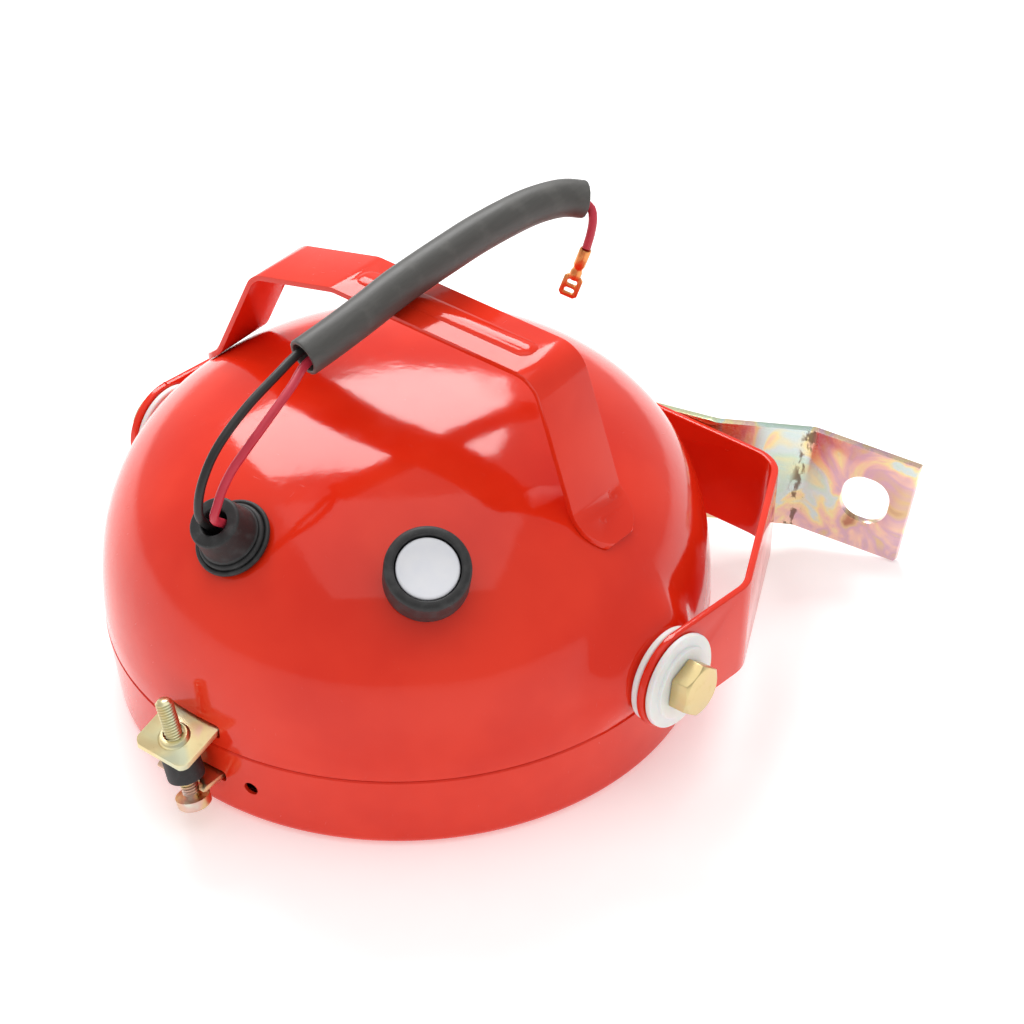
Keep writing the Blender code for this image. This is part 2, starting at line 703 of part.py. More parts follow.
def make_clips(low):
    """Spring clips from the reflector's flange up along the rim's wall."""
    wall = RIM_FRONT_RADIUS - RIM_WALL - 2 * GAP
    corners = [
        (LENS_FLANGE_RADIUS - RIM_CORNER, low + CLIP_THICK / 2),
        (wall - CLIP_THICK, low + CLIP_THICK / 2),
        (wall - CLIP_THICK, low + CLIP_WIDTH),
    ]
    outline = strip_outline(corners, CLIP_THICK, CLIP_THICK)
    first = None
    for i in range(CLIP_COUNT):
        name = f"lens_clip_{i + 1}"
        if first is None:
            first = prism(name, outline, -CLIP_WIDTH / 2, CLIP_WIDTH / 2, "spring_steel", matrix=FRONT_VIEW)
            clip = first
        else:
            clip = share(name, first)
        clip.rotation_euler.z = math.pi / 4 + i * math.pi / 2


def make_bulb():
    """Holder on the reflector's neck, the bulb through it and the spring that keeps the bulb down."""
    neck_z = reflector_height(REFLECTOR_NECK) + REFLECTOR_WALL
    base = neck_z + GAP
    bulb_hole = BULB_BASE_RADIUS + FIT
    top = base + HOLDER_HEIGHT
    holder = [(bulb_hole, base), (HOLDER_FLANGE, base), (HOLDER_FLANGE, base + REFLECTOR_WALL),
              (HOLDER_RADIUS, base + REFLECTOR_WALL), (HOLDER_RADIUS, top), (bulb_hole, top)]
    lathe("bulb_holder", holder, "brass")
    cap_top = top - GAP
    focus = REFLECTOR_VERTEX - REFLECTOR_FOCUS
    glass_top = focus + BULB_GLASS_ABOVE
    cap_low = glass_top + GAP
    cap = [(0, cap_low), (BULB_BASE_RADIUS, cap_low), (BULB_BASE_RADIUS, cap_top), (0, cap_top)]
    lathe("bulb_cap", cap, "spring_steel", segments=SMALL_ROUND)
    tip = LENS_TOP + (focus - LENS_TOP) * BULB_TIP_SHARE
    turn = arc_points((0, tip + BULB_GLASS_RADIUS), BULB_GLASS_RADIUS, -math.pi / 2, 0)
    glass = [(0, tip)] + turn[1:] + [(BULB_GLASS_RADIUS, glass_top), (0, glass_top)]
    lathe("bulb_glass", glass, "bulb_glass", segments=SMALL_ROUND)
    low = top + GAP
    ring = [(BULB_GLASS_RADIUS, low), (SPRING_RADIUS, low), (SPRING_RADIUS, low + SPRING_THICK),
            (BULB_GLASS_RADIUS, low + SPRING_THICK)]
    lathe("bulb_retainer", ring, "spring_steel", segments=SMALL_ROUND)
    return low + SPRING_THICK


# ---------------------------------------------------------------- clamp

def make_clamp():
    """Screw clamp that pulls the rim's forked lug towards the bowl's lug."""
    lean = Matrix.Rotation(CLAMP_LEAN, 4, "Y")
    axis = empty("clamp_axis", Matrix.Translation((CLAMP_X, CLAMP_Y, CLAMP_Z)) @ lean)
    hook_y = -(BOWL_RADIUS - SKIRT_INSET - 2 * BOWL_WALL - LUG_THICK / 2)
    end_y = CLAMP_Y - LUG_REACH
    rise = math.tan(LUG_SLOPE)
    hook_z = CLAMP_Z + (hook_y - CLAMP_Y) * rise
    corners = [(hook_y, hook_z + LUG_HOOK), (hook_y, hook_z), (end_y, CLAMP_Z - LUG_REACH * rise)]
    outline = strip_outline(corners, LUG_BEND, LUG_THICK)
    shift = Matrix.Translation((CLAMP_X, 0, 0)) @ SIDE_VIEW
    bowl_lug = prism("bowl_lug", outline, -LUG_WIDTH / 2, LUG_WIDTH / 2, "yellow_zinc", matrix=shift)
    span = 2 * (hook_y - end_y)
    plan = rounded_rectangle(LUG_WIDTH + GAP, span, LUG_CORNER)
    plan_seat = Matrix.Translation((CLAMP_X, hook_y, CLAMP_Z))
    boolean(bowl_lug, prism("lug_corners", plan, -span, span, None, None, plan_seat), "INTERSECT")
    collar_seat = Matrix.Translation((CLAMP_X, CLAMP_Y, CLAMP_Z)) @ Matrix.Rotation(LUG_SLOPE, 4, "X")
    collar_top = LUG_THICK / 2 + LUG_COLLAR
    collar = circle(LUG_COLLAR_RADIUS)
    boolean(bowl_lug, prism("collar", collar, -LUG_THICK / 4, collar_top, None, None, collar_seat), "UNION")
    drill(bowl_lug, "bowl_lug_drill", circle(SCREW_HOLE), -LUG_REACH, LUG_REACH, None, axis)

    rim_hook_y = -(RIM_FRONT_RADIUS - RIM_WALL - GAP - LUG_THICK)
    fork_y = CLAMP_Y + RIM_LUG_SHORT
    corners = [(rim_hook_y, RIM_LUG_Z + LUG_HOOK), (rim_hook_y, RIM_LUG_Z), (fork_y, RIM_LUG_Z),
               (fork_y - RIM_LUG_TURN_DOWN / 2, RIM_LUG_Z - RIM_LUG_TURN_DOWN)]
    outline = strip_outline(corners, RIM_LUG_BEND, LUG_THICK)
    half = RIM_LUG_WIDTH / 2
    rim_lug = prism("rim_lug", outline, -half, half, "yellow_zinc", matrix=shift)
    depth = CLAMP_Z - RIM_LUG_Z
    drill(rim_lug, "rim_lug_drill", circle(SCREW_HOLE), -depth - LUG_REACH, -depth + LUG_REACH, None, axis)

    level = LUG_THICK / 2 + GAP
    lean_rise = math.sin(abs(CLAMP_LEAN))
    lean_share = math.cos(CLAMP_LEAN)
    spacer_high = -(level + SPACER_RADIUS * math.sin(LUG_TIP)) / math.cos(LUG_TIP)
    spacer_low = (-depth + level + SPACER_RADIUS * lean_rise) / lean_share
    spacer = [(SCREW_HOLE, spacer_low), (SPACER_RADIUS, spacer_low), (SPACER_RADIUS, spacer_high),
              (SCREW_HOLE, spacer_high)]
    lathe("clamp_spacer", spacer, "black_rubber", axis, SMALL_ROUND)
    head_top = -(depth + level + RIM_LUG_TURN_DOWN + SCREW_HEAD_RADIUS * lean_rise) / lean_share
    head_bottom = head_top - SCREW_HEAD
    screw = [(0, head_bottom), (SCREW_HEAD_RADIUS - GAP, head_bottom), (SCREW_HEAD_RADIUS, head_bottom + GAP),
             (SCREW_HEAD_RADIUS, head_top), (SCREW_RADIUS, head_top), (SCREW_RADIUS, SCREW_TOP),
             (0, SCREW_TOP)]
    lathe("clamp_screw", screw, "yellow_zinc", axis, SMALL_ROUND)


def make_rim_tongue():
    """Tongue inside the rim opposite the clamp, which hooks behind the bowl's skirt."""
    y = BOWL_RADIUS - SKIRT_INSET - BOWL_WALL - GAP - LUG_THICK / 2
    low = SEAM_Z - 2 * SKIRT_DEPTH
    outline = strip_outline([(y, low), (y - GAP, SEAM_Z + GAP), (y - LUG_THICK, SEAM_Z + LUG_HOOK)],
                            LUG_BEND, LUG_THICK)
    prism("rim_tongue", outline, -TONGUE_WIDTH / 2, TONGUE_WIDTH / 2, "yellow_zinc", matrix=SIDE_VIEW)


# ---------------------------------------------------------------- handle, switch and grommet

def make_handle():
    """Bent strap whose rounded feet lie on the bowl."""
    foot_radius = math.hypot(FOOT_X, HANDLE_Y)
    slope = math.atan(math.tan(bowl_slope(foot_radius)) * FOOT_X / foot_radius)
    along = Vector((math.cos(slope), -math.sin(slope)))
    lift = Vector((math.sin(slope), math.cos(slope))) * (HANDLE_THICK / 2 + GAP)
    foot = Vector((FOOT_X, bowl_height(foot_radius))) + lift
    toe = foot + along * FOOT_TOE
    heel = foot - along * FOOT_HEEL
    top_z = HANDLE_TOP_Z - HANDLE_THICK / 2
    top = [(HANDLE_TOP_X, top_z), (HANDLE_EASE_X, top_z), (HANDLE_LEFT_X, top_z - HANDLE_LEFT_DROP)]
    corners = [toe, heel] + top + [(-heel.x, heel.y), (-toe.x, toe.y)]
    outline = strip_outline(corners, HANDLE_BEND, HANDLE_THICK)
    side = Matrix.Translation((0, HANDLE_Y, 0)) @ FRONT_VIEW
    handle = prism("handle", outline, -HANDLE_WIDTH / 2, HANDLE_WIDTH / 2, "red_paint", matrix=side)
    reach = 2 * toe.x + HANDLE_THICK
    plan = rounded_rectangle(reach, HANDLE_WIDTH + CUT, HANDLE_WIDTH / 2 - CUT)
    height = HANDLE_TOP_Z + CUT
    ends = prism("handle_ends", plan, SEAM_Z, height, None, matrix=Matrix.Translation((0, HANDLE_Y, 0)))
    boolean(handle, ends, "INTERSECT")


def lead_starts(seat, face):
    """For each of two leads under a face inside the bowl, its first point and one straight in from it."""
    ends = []
    for side in (-1, 1):
        start = Vector((0, side * LEAD_SPACING, face - GAP))
        ends.append([seat.matrix_world @ start, seat.matrix_world @ (start - Vector((0, 0, LEAD_STEP)))])
    return ends


def make_switch(seat):
    """Push switch: body inside the bowl, rubber bezel outside and a sprung cap in it."""
    stem_bore = STEM_RADIUS + FIT
    neck_top = BEZEL_FLOOR - SWITCH_SHELF
    shoulder = under_wall(SWITCH_BODY)
    bottom = shoulder - SWITCH_BODY_LENGTH
    bore_bottom = bottom / 2 - CAP_TRAVEL
    body = [(0, bottom), (SWITCH_BODY, bottom), (SWITCH_BODY, shoulder), (SWITCH_NECK, shoulder),
            (SWITCH_NECK, neck_top), (stem_bore, neck_top), (stem_bore, bore_bottom), (0, bore_bottom)]
    lathe("switch_body", body, "black_moulding", seat)
    neck_bore = SWITCH_NECK + FIT
    cap_bore = CAP_RADIUS + FIT
    soft = BEZEL_SOFT
    bezel = [(neck_bore, GAP), (BEZEL_RADIUS - soft / 2, GAP), (BEZEL_RADIUS, soft),
             (BEZEL_RADIUS, BEZEL_HEIGHT - soft), (BEZEL_RADIUS - soft / 3, BEZEL_HEIGHT - soft / 3),
             (BEZEL_RADIUS - soft, BEZEL_HEIGHT), (cap_bore + GAP, BEZEL_HEIGHT),
             (cap_bore, BEZEL_HEIGHT - GAP), (cap_bore, BEZEL_FLOOR), (stem_bore, BEZEL_FLOOR),
             (stem_bore, neck_top + GAP), (neck_bore, neck_top + GAP)]
    lathe("switch_bezel", bezel, "black_rubber", seat)
    disc_low = CAP_FACE - CAP_DISC
    stem_end = bore_bottom + CAP_TRAVEL + FIT
    cap = [(0, stem_end), (STEM_RADIUS, stem_end), (STEM_RADIUS, disc_low), (CAP_RADIUS, disc_low),
           (CAP_RADIUS, CAP_FACE - GAP), (CAP_RADIUS - GAP, CAP_FACE), (0, CAP_FACE)]
    lathe("switch_cap", cap, "white_cap", seat)
    return lead_starts(seat, bottom)


def make_grommet(seat):
    """Rubber grommet: a flange and neck outside, a waist in the hole and a lip inside the bowl."""
    lip_top = under_wall(GROMMET_LIP)
    lip_bottom = lip_top - GROMMET_LIP_HEIGHT
    flange_top = GROMMET_FLANGE_HEIGHT
    edge = GROMMET_EDGE
    floor = GROMMET_HEIGHT - BORE_DEPTH
    profile = [(0, lip_bottom), (GROMMET_LIP - edge, lip_bottom), (GROMMET_LIP, lip_top),
               (GROMMET_WAIST, lip_top), (GROMMET_WAIST, GAP), (GROMMET_FLANGE, GAP),
               (GROMMET_FLANGE, flange_top - edge), (GROMMET_FLANGE - edge, flange_top),
               (GROMMET_NECK_ROOT, flange_top + edge / 2), (GROMMET_NECK_TOP, GROMMET_HEIGHT - edge),
               (GROMMET_NECK_TOP - edge, GROMMET_HEIGHT), (GROMMET_BORE, GROMMET_HEIGHT),
               (GROMMET_BORE, floor), (0, floor)]
    lathe("grommet", profile, "black_rubber", seat)
    return lead_starts(seat, lip_bottom)


# ---------------------------------------------------------------- pivot and brackets

def washer_profile(low, hub):
    """Nylon washer on a bolt, with a smaller hub on its far face when one is wanted."""
    bore = BOLT_RADIUS + FIT
    soft = SOFT
    high = low + WASHER_THICK
    outline = [(bore, low), (WASHER_RADIUS - soft, low), (WASHER_RADIUS, low + soft),
               (WASHER_RADIUS, high - soft), (WASHER_RADIUS - soft, high)]
    if hub:
        outline += [(HUB_RADIUS, high), (HUB_RADIUS, high + hub - soft), (HUB_RADIUS - soft, high + hub)]
        high += hub
    return outline + [(bore, high)]


def make_pivots():
    """On each side an inner washer, a hexagon bolt and a nut inside; an outer washer on the right only."""
    arm_inner = BOSS_FACE_X + WASHER_THICK + 2 * GAP
    arm_outer = arm_inner + ARM_THICK
    shank_end = BOSS_ROOT_X - NUT_HEIGHT - 4 * GAP
    for side, tag in ((-1, "left"), (1, "right")):
        turn = Matrix.Rotation(side * math.pi / 2, 4, "Y")
        pivot = empty(f"pivot_{tag}", Matrix.Translation((0, 0, PIVOT_Z)) @ turn)
        lathe(f"pivot_washer_inner_{tag}", washer_profile(BOSS_FACE_X + GAP, 0), "nylon", pivot)
        head_low = arm_outer + GAP
        if side == 1:
            lathe(f"pivot_washer_outer_{tag}", washer_profile(head_low, HUB_HEIGHT), "nylon", pivot)
            head_low += WASHER_THICK + HUB_HEIGHT + GAP
        head = prism(f"pivot_bolt_{tag}", hexagon(HEX_FLATS, HEAD_TURN), head_low, head_low + HEAD_HEIGHT,
                     "yellow_zinc", pivot)
        shank = [(0, shank_end), (BOLT_RADIUS, shank_end), (BOLT_RADIUS, head_low + GAP), (0, head_low + GAP)]
        boolean(head, lathe(f"shank_{tag}", shank, None, pivot, SMALL_ROUND), "UNION")
        nut_high = BOSS_ROOT_X - GAP
        nut_low = nut_high - NUT_HEIGHT
        nut = prism(f"pivot_nut_{tag}", hexagon(HEX_FLATS), nut_low, nut_high, "yellow_zinc", pivot)
        drill(nut, f"nut_drill_{tag}", circle(BOLT_RADIUS + FIT), 0, BOSS_FACE_X, None, pivot)


def make_u_bracket(tilt):
    """Strip on edge: an arm on each pivot, a slanted corner each side and a cross bar behind the bowl."""
    arm_x = BOSS_FACE_X + WASHER_THICK + 2 * GAP + ARM_THICK / 2
    bar_y = BAR_DISTANCE - ARM_THICK / 2
    end_y = -STRIP_HEIGHT / 2 - CUT
    half = [(arm_x, end_y), (arm_x, CHAMFER_START), (BAR_HALF, bar_y)]
    corners = half + [(-x, y) for x, y in half[::-1]]
    outline = strip_outline(corners, BRACKET_BEND, ARM_THICK)
    low, high = -STRIP_HEIGHT / 2, STRIP_HEIGHT / 2
    bracket = prism("u_bracket", outline, low, high, "red_paint", tilt)
    ends = arc_points((0, 0), STRIP_HEIGHT / 2, math.pi / 2, 3 * math.pi / 2, 3 * ARC_STEPS)
    far = BAR_DISTANCE + CUT
    side = [(far, low - CUT), (far, high + CUT), (0, high + CUT)] + ends + [(0, low - CUT)]
    reach = arm_x + ARM_THICK
    boolean(bracket, prism("arm_ends", side, -reach, reach, None, tilt, SIDE_VIEW), "INTERSECT")
    drill(bracket, "arm_drill", circle(BOLT_RADIUS + FIT), -reach, reach, along_x(), tilt)
    bar_hole = Matrix.Translation((MOUNT_BOLT_X, BAR_DISTANCE, 0)) @ FRONT_VIEW
    drill(bracket, "bar_drill", circle(MOUNT_BOLT_RADIUS + FIT), -CUT, 2 * CUT, bar_hole, tilt)


def mount_corners():
    """Middle line of the mounting bracket, from its tail behind the bar to its slotted end."""
    level = MOUNT_THICK / 2
    flat = Vector((MOUNT_FLAT, level))
    rise = flat + Vector((math.cos(MOUNT_RISE_ANGLE), math.sin(MOUNT_RISE_ANGLE))) * MOUNT_RISE
    end = rise + Vector((math.cos(MOUNT_END_ANGLE), math.sin(MOUNT_END_ANGLE))) * MOUNT_END
    return [Vector((-MOUNT_TAIL, level)), flat, rise, end]


def make_mount_bracket(swivel):
    """Joggled bracket that swivels on the cross bar's bolt; its end is slotted for a fixing bolt."""
    corners = mount_corners()
    outline = strip_outline(corners, MOUNT_BEND, MOUNT_THICK)
    half = MOUNT_WIDTH / 2
    bracket = prism("mount_bracket", outline, -half, half, "yellow_zinc", swivel)
    far = corners[-1][0]
    edge = half + GAP
    corner = MOUNT_CORNER
    plan = [(-MOUNT_TAIL, -MOUNT_TAIL_HALF), (MOUNT_FLAT, -edge)]
    plan += arc_points((far - corner, corner - edge), corner, -math.pi / 2, 0)
    plan += arc_points((far - corner, edge - corner), corner, 0, math.pi / 2)
    plan += [(MOUNT_FLAT, edge), (-MOUNT_TAIL, MOUNT_TAIL_HALF)]
    boolean(bracket, prism("mount_ends", plan, -BAR_HALF, BAR_HALF, None, swivel, FRONT_VIEW), "INTERSECT")
    through = 2 * MOUNT_THICK
    drill(bracket, "mount_drill", circle(MOUNT_BOLT_RADIUS + FIT), -through, through, FRONT_VIEW, swivel)
    slot = rounded_rectangle(SLOT_LENGTH, SLOT_WIDTH, SLOT_CORNER)
    turn = Matrix.Rotation(MOUNT_END_ANGLE, 4, "Z")
    spot = Vector((*corners[2], 0)) + turn @ Vector((SLOT_FROM_BEND, 0, 0))
    seat = Matrix.Translation(spot) @ turn @ FRONT_VIEW
    drill(bracket, "slot_cut", slot, -through, through, seat, swivel)


def make_mount_bolt(bolt_axis):
    """Low round-headed bolt through the bar and the bracket, with a washer and a nut behind."""
    head_top = -(ARM_THICK + GAP)
    washer_low = MOUNT_THICK + 2 * GAP
    washer_high = washer_low + MOUNT_WASHER_THICK
    nut_low = washer_high + GAP
    tip = nut_low + NUT_HEIGHT + MOUNT_BOLT_PROUD
    soft = MOUNT_HEAD_HEIGHT / 3
    head = [(0, head_top - MOUNT_HEAD_HEIGHT), (MOUNT_HEAD_RADIUS - 2 * soft, head_top - MOUNT_HEAD_HEIGHT),
            (MOUNT_HEAD_RADIUS, head_top - soft), (MOUNT_HEAD_RADIUS, head_top),
            (MOUNT_BOLT_RADIUS, head_top), (MOUNT_BOLT_RADIUS, tip - GAP),
            (MOUNT_BOLT_RADIUS - GAP, tip), (0, tip)]
    lathe("mount_bolt", head, "yellow_zinc", bolt_axis, SMALL_ROUND)
    bore = MOUNT_BOLT_RADIUS + FIT
    washer = [(bore, washer_low), (MOUNT_WASHER_RADIUS, washer_low), (MOUNT_WASHER_RADIUS, washer_high),
              (bore, washer_high)]
    lathe("mount_washer", washer, "yellow_zinc", bolt_axis)
    nut = prism("mount_nut", hexagon(HEX_FLATS), nut_low, nut_low + NUT_HEIGHT, "yellow_zinc", bolt_axis)
    drill(nut, "mount_nut_drill", circle(bore), 0, tip, None, bolt_axis)


# ---------------------------------------------------------------- leads

def make_terminal():
    """Crimped flat terminal on the red wire: a barrel, then a tab with two holes."""
    end = Vector(RED_ROUTE[-1])
    down = TERMINAL_DIRECTION.normalized()
    aim = down.to_track_quat("-Z", "Y").to_matrix().to_4x4() @ Matrix.Rotation(TERMINAL_TURN, 4, "Z")
    seat = empty("terminal_seat", Matrix.Translation(end + down * GAP) @ aim)
    low = -TERMINAL_BARREL_LENGTH
    barrel = [(0, 0), (0, low), (TERMINAL_BARREL, low), (TERMINAL_BARREL, 0)]
    terminal = lathe("terminal", barrel, "copper", seat, SMALL_ROUND // 2)
    tab_top = -TERMINAL_BARREL_LENGTH + TERMINAL_BARREL / 2
    tab = rounded_rectangle(TERMINAL_WIDTH, TERMINAL_LENGTH, TERMINAL_THICK)
    centre = Matrix.Translation((0, 0, tab_top - TERMINAL_LENGTH / 2))
    half = TERMINAL_THICK / 2
    boolean(terminal, prism("tab", tab, -half, half, None, seat, centre @ FRONT_VIEW), "UNION")
    hole = rounded_rectangle(TAB_HOLE_WIDTH, TAB_HOLE_HEIGHT, TAB_HOLE_ROUND)
    for step in (-1, 1):
        spot = centre @ Matrix.Translation((0, 0, step * TAB_HOLE_SPACING / 2))
        drill(terminal, f"tab_hole_{step}", hole, -CUT, CUT, spot @ FRONT_VIEW, seat)


def make_leads(grommet_inside, switch_inside, holder_top):
    """The two wires, their sleeve and terminal outside, and the three leads inside the bowl."""
    hollow_tube("cable_sleeve", SLEEVE_ROUTE, SLEEVE_RADIUS, SLEEVE_BORE, "grey_pvc", SLEEVE_STEP)
    cord("black_wire", BLACK_ROUTE, WIRE_RADIUS, "black_wire", WIRE_STEP)
    cord("red_wire", RED_ROUTE, WIRE_RADIUS, "red_wire", WIRE_STEP)
    make_terminal()
    landing = holder_top + GAP + LEAD_RADIUS
    above = Vector((0, 0, LEAD_STEP))
    left, right = (Vector((side * (SPRING_RADIUS - LEAD_RADIUS), 0, landing)) for side in (-1, 1))
    feed = grommet_inside[1] + switch_inside[0][::-1]
    earth = grommet_inside[0] + [left + above, left]
    live = switch_inside[1] + [right + above, right]
    for name, route, colour in (("feed_lead", feed, "red_wire"), ("earth_lead", earth, "black_wire"),
                                ("switch_lead", live, "red_wire")):
        cord(name, route, LEAD_RADIUS, colour, LEAD_STEP)


def main():
    clear_scene()
    switch_seat = empty("switch_seat", bowl_frame(SWITCH_RADIUS, SWITCH_ANGLE))
    grommet_seat = empty("grommet_seat", bowl_frame(GROMMET_RADIUS, GROMMET_ANGLE))
    tilt_turn = Matrix.Rotation(BRACKET_TILT, 4, "X")
    tilt_matrix = Matrix.Translation((0, 0, PIVOT_Z)) @ tilt_turn
    tilt = empty("tilt_axis", tilt_matrix)
    bar_face = tilt_matrix @ Matrix.Translation((MOUNT_BOLT_X, BAR_DISTANCE, 0))
    swivel_frame = bar_face @ Matrix.Rotation(MOUNT_SWIVEL, 4, "Y") @ Matrix.Translation((0, GAP, 0))
    swivel = empty("swivel_axis", swivel_frame)
    bolt_axis = empty("mount_bolt_axis", bar_face @ Matrix.Rotation(-math.pi / 2, 4, "X"))
    make_bowl(switch_seat, grommet_seat)
    make_rim()
    make_rim_tongue()
    make_lens_unit()
    holder_top = make_bulb()
    make_clamp()
    make_handle()
    switch_inside = make_switch(switch_seat)
    grommet_inside = make_grommet(grommet_seat)
    make_pivots()
    make_u_bracket(tilt)
    make_mount_bracket(swivel)
    make_mount_bolt(bolt_axis)
    make_leads(grommet_inside, switch_inside, holder_top)


main()
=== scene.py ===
"""Looks of the work lamp: painted bowl and rim, strap handle, switch, grommet and leads, clamp,
U bracket with its pivots, and the plated mounting bracket. All sizes are in metres."""

import math

import bpy
from mathutils import Matrix, Vector


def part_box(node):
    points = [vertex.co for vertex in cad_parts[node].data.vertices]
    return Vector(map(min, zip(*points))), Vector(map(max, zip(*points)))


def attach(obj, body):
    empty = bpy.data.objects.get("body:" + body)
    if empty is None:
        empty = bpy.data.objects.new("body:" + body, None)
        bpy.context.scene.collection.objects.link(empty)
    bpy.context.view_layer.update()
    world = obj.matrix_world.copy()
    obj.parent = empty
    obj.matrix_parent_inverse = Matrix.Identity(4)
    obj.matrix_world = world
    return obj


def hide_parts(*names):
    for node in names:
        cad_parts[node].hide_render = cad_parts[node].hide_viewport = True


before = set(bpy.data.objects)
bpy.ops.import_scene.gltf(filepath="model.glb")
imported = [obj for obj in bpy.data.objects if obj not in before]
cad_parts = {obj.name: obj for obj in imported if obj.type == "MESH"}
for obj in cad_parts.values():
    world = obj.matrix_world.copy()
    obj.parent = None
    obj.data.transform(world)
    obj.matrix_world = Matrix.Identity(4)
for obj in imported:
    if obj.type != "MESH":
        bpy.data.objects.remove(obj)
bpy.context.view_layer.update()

GAP = 0.0003
TINY = 0.000001
CLEARANCE = 0.0004

# How far a cutter reaches each way from the middle of what it cuts
CUT_TAB = 0.002
CUT_SHEET = 0.004
CUT_PLATE = 0.006
CUT_DOME = 0.008
CUT_LAMP = 0.1

# Floor and lights: name, place, width, height and power of each soft box
FLOOR_SIZE = 6
FLOOR_GLOW = 0.35
WORLD_COLOUR = (1.0, 0.99, 0.98, 1)
WORLD_STRENGTH = 0.62
LIGHT_TARGET = Vector((0, 0, 0.06))
SOFT_BOXES = [
    ("window_box", (-0.62, 0.50, 0.84), 0.75, 0.45, 8.5),
    ("high_box", (0.10, -0.10, 1.60), 1.6, 1.6, 6),
]

# Camera
CAMERA_PLACE = Vector((0.50031, -0.54585, 0.60413))
CAMERA_TURN = math.radians(40.2912)
CAMERA_HEIGHT = math.radians(37.0133)
CAMERA_ROLL = math.radians(-1.2652)
CAMERA_LENS = 121.84
CAMERA_NEAR = 0.01

# Bowl and rim
BOWL_RADIUS = 0.0820
BOWL_RISE = 0.0633
BOWL_POWER = 2.72
BOWL_WALL = 0.0010
BOWL_EDGE = 0.0004
SEAM_Z = 0.0234
SKIRT_INSET = 0.0019
SKIRT_DEPTH = 0.0060
DOME_STEPS = 40
DOME_SPREAD = 1.25
SWITCH_HOLE = 0.0062
LUG_SLOT_HEIGHT = 0.0042
LUG_SLOT_CORNER = 0.0010
LUG_SLOT_UP = 0.0020
RIM_SLOT_HEIGHT = 0.0036
RIM_SLOT_CORNER = 0.0012
BOWL_ROUND = 192
BOSS_FACE_X = 0.0863
BOSS_FACE_RADIUS = 0.0118
BOSS_SPREAD = 0.0130
PIVOT_Z = 0.0362
RIM_FRONT_RADIUS = 0.0801
RIM_CORNER = 0.0030
LIP_OPENING = 0.0710
DRAIN_X = 0.0152
DRAIN_Z = 0.0122
DRAIN_RADIUS = 0.0020

# Handle
HANDLE_WIDTH = 0.0186
HANDLE_THICK = 0.0015
HANDLE_TOP_Z = 0.1138
HANDLE_TOP_X = 0.0490
HANDLE_Y = 0.0048
FOOT_X = 0.0645
FOOT_HEEL = 0.0048
FOOT_TOE = 0.0062
HANDLE_BEND = 0.0080
HANDLE_EASE_X = -0.0180
HANDLE_LEFT_X = -0.0465
HANDLE_LEFT_DROP = 0.0075
RIB_X = 0.0130
RIB_LENGTH = 0.0580
RIB_WIDTH = 0.0070
RIB_SIDE = 0.0001
RIB_SLOPE = 0.0016
RIB_CROWN = 0.0006
WELD_BALL = 0.0022
WELD_DEPTH = 0.0003
WELD_SPOTS = [(-0.0038, 0.0055), (-0.0005, -0.0019)]

# Pivots and U bracket
BOLT_RADIUS = 0.0039
WASHER_RADIUS = 0.0130
HUB_RADIUS = 0.0100
HEX_FLATS = 0.0130
HEX_FACE_SHARE = 0.96
HEX_CHAMFER = math.radians(30)
HEX_PAST = 0.001
HEAD_TURN = math.radians(50)
ARM_THICK = 0.0020
STRIP_HEIGHT = 0.0270
BAR_DISTANCE = 0.0870
CHAMFER_START = 0.0310
BAR_HALF = 0.0600
BRACKET_BEND = 0.0120
BRACKET_TILT = math.radians(-5.2)

# Mounting bracket and its bolt
MOUNT_BOLT_X = 0.0220
MOUNT_THICK = 0.0022
MOUNT_WIDTH = 0.0335
MOUNT_TAIL = 0.0100
MOUNT_TAIL_HALF = 0.0100
MOUNT_FLAT = 0.0120
MOUNT_RISE_ANGLE = math.radians(43)
MOUNT_RISE = 0.0290
MOUNT_END_ANGLE = math.radians(18)
MOUNT_END = 0.0315
MOUNT_BEND = 0.0050
MOUNT_SWIVEL = math.radians(8)
MOUNT_CORNER = 0.0012
SLOT_LENGTH = 0.0140
SLOT_WIDTH = 0.0150
SLOT_CORNER = 0.0062
SLOT_FROM_BEND = 0.0185
NUT_HEIGHT = 0.0065
MOUNT_HEAD_HEIGHT = 0.0030
MOUNT_HEAD_RADIUS = 0.0075
MOUNT_WASHER_RADIUS = 0.0085
MOUNT_WASHER_THICK = 0.0016
MOUNT_BOLT_PROUD = 0.0060
MOUNT_BOLT_POINT = 0.0006
THREAD_PITCH = 0.00125
THREAD_DEPTH = 0.55
THREAD_CREST = (0.45, 0.55)
CORE_DEPTH = 0.5
THREAD_STEPS = 32
CREASE_PLACE = 0.0330

# Switch and grommet
SWITCH_RADIUS = 0.0631
SWITCH_ANGLE = math.radians(-43.4)
BEZEL_RADIUS = 0.0110
BEZEL_HEIGHT = 0.0125
BEZEL_FLOOR = 0.0050
BEZEL_SOFT = 0.0016
BEZEL_BORE = 0.0032
BEZEL_NECK = 0.0063
BEZEL_SHELF = 0.0013
CAP_RADIUS = 0.0080
CAP_FACE = 0.0116
CAP_DISC = 0.0030
CAP_ROUND = 0.0004
CAP_LABEL_EDGE = 0.0010
CAP_LABEL_STEP = 0.0002
CAP_LABEL_SUNK = 0.0001
STEM_RADIUS = 0.0028
STEM_END = -0.0080
GROMMET_RADIUS = 0.0616
GROMMET_ANGLE = math.radians(-92)
GROMMET_FLANGE = 0.0105
GROMMET_WAIST = 0.0066
GROMMET_NECK_ROOT = 0.0082
GROMMET_NECK_TOP = 0.0070
GROMMET_HEIGHT = 0.0115
GROMMET_BORE = 0.0036
BORE_DEPTH = 0.0070
GROMMET_TAIL = 0.0030
EDGE_BEAD = 0.0007
STEP_BEAD = 0.0009
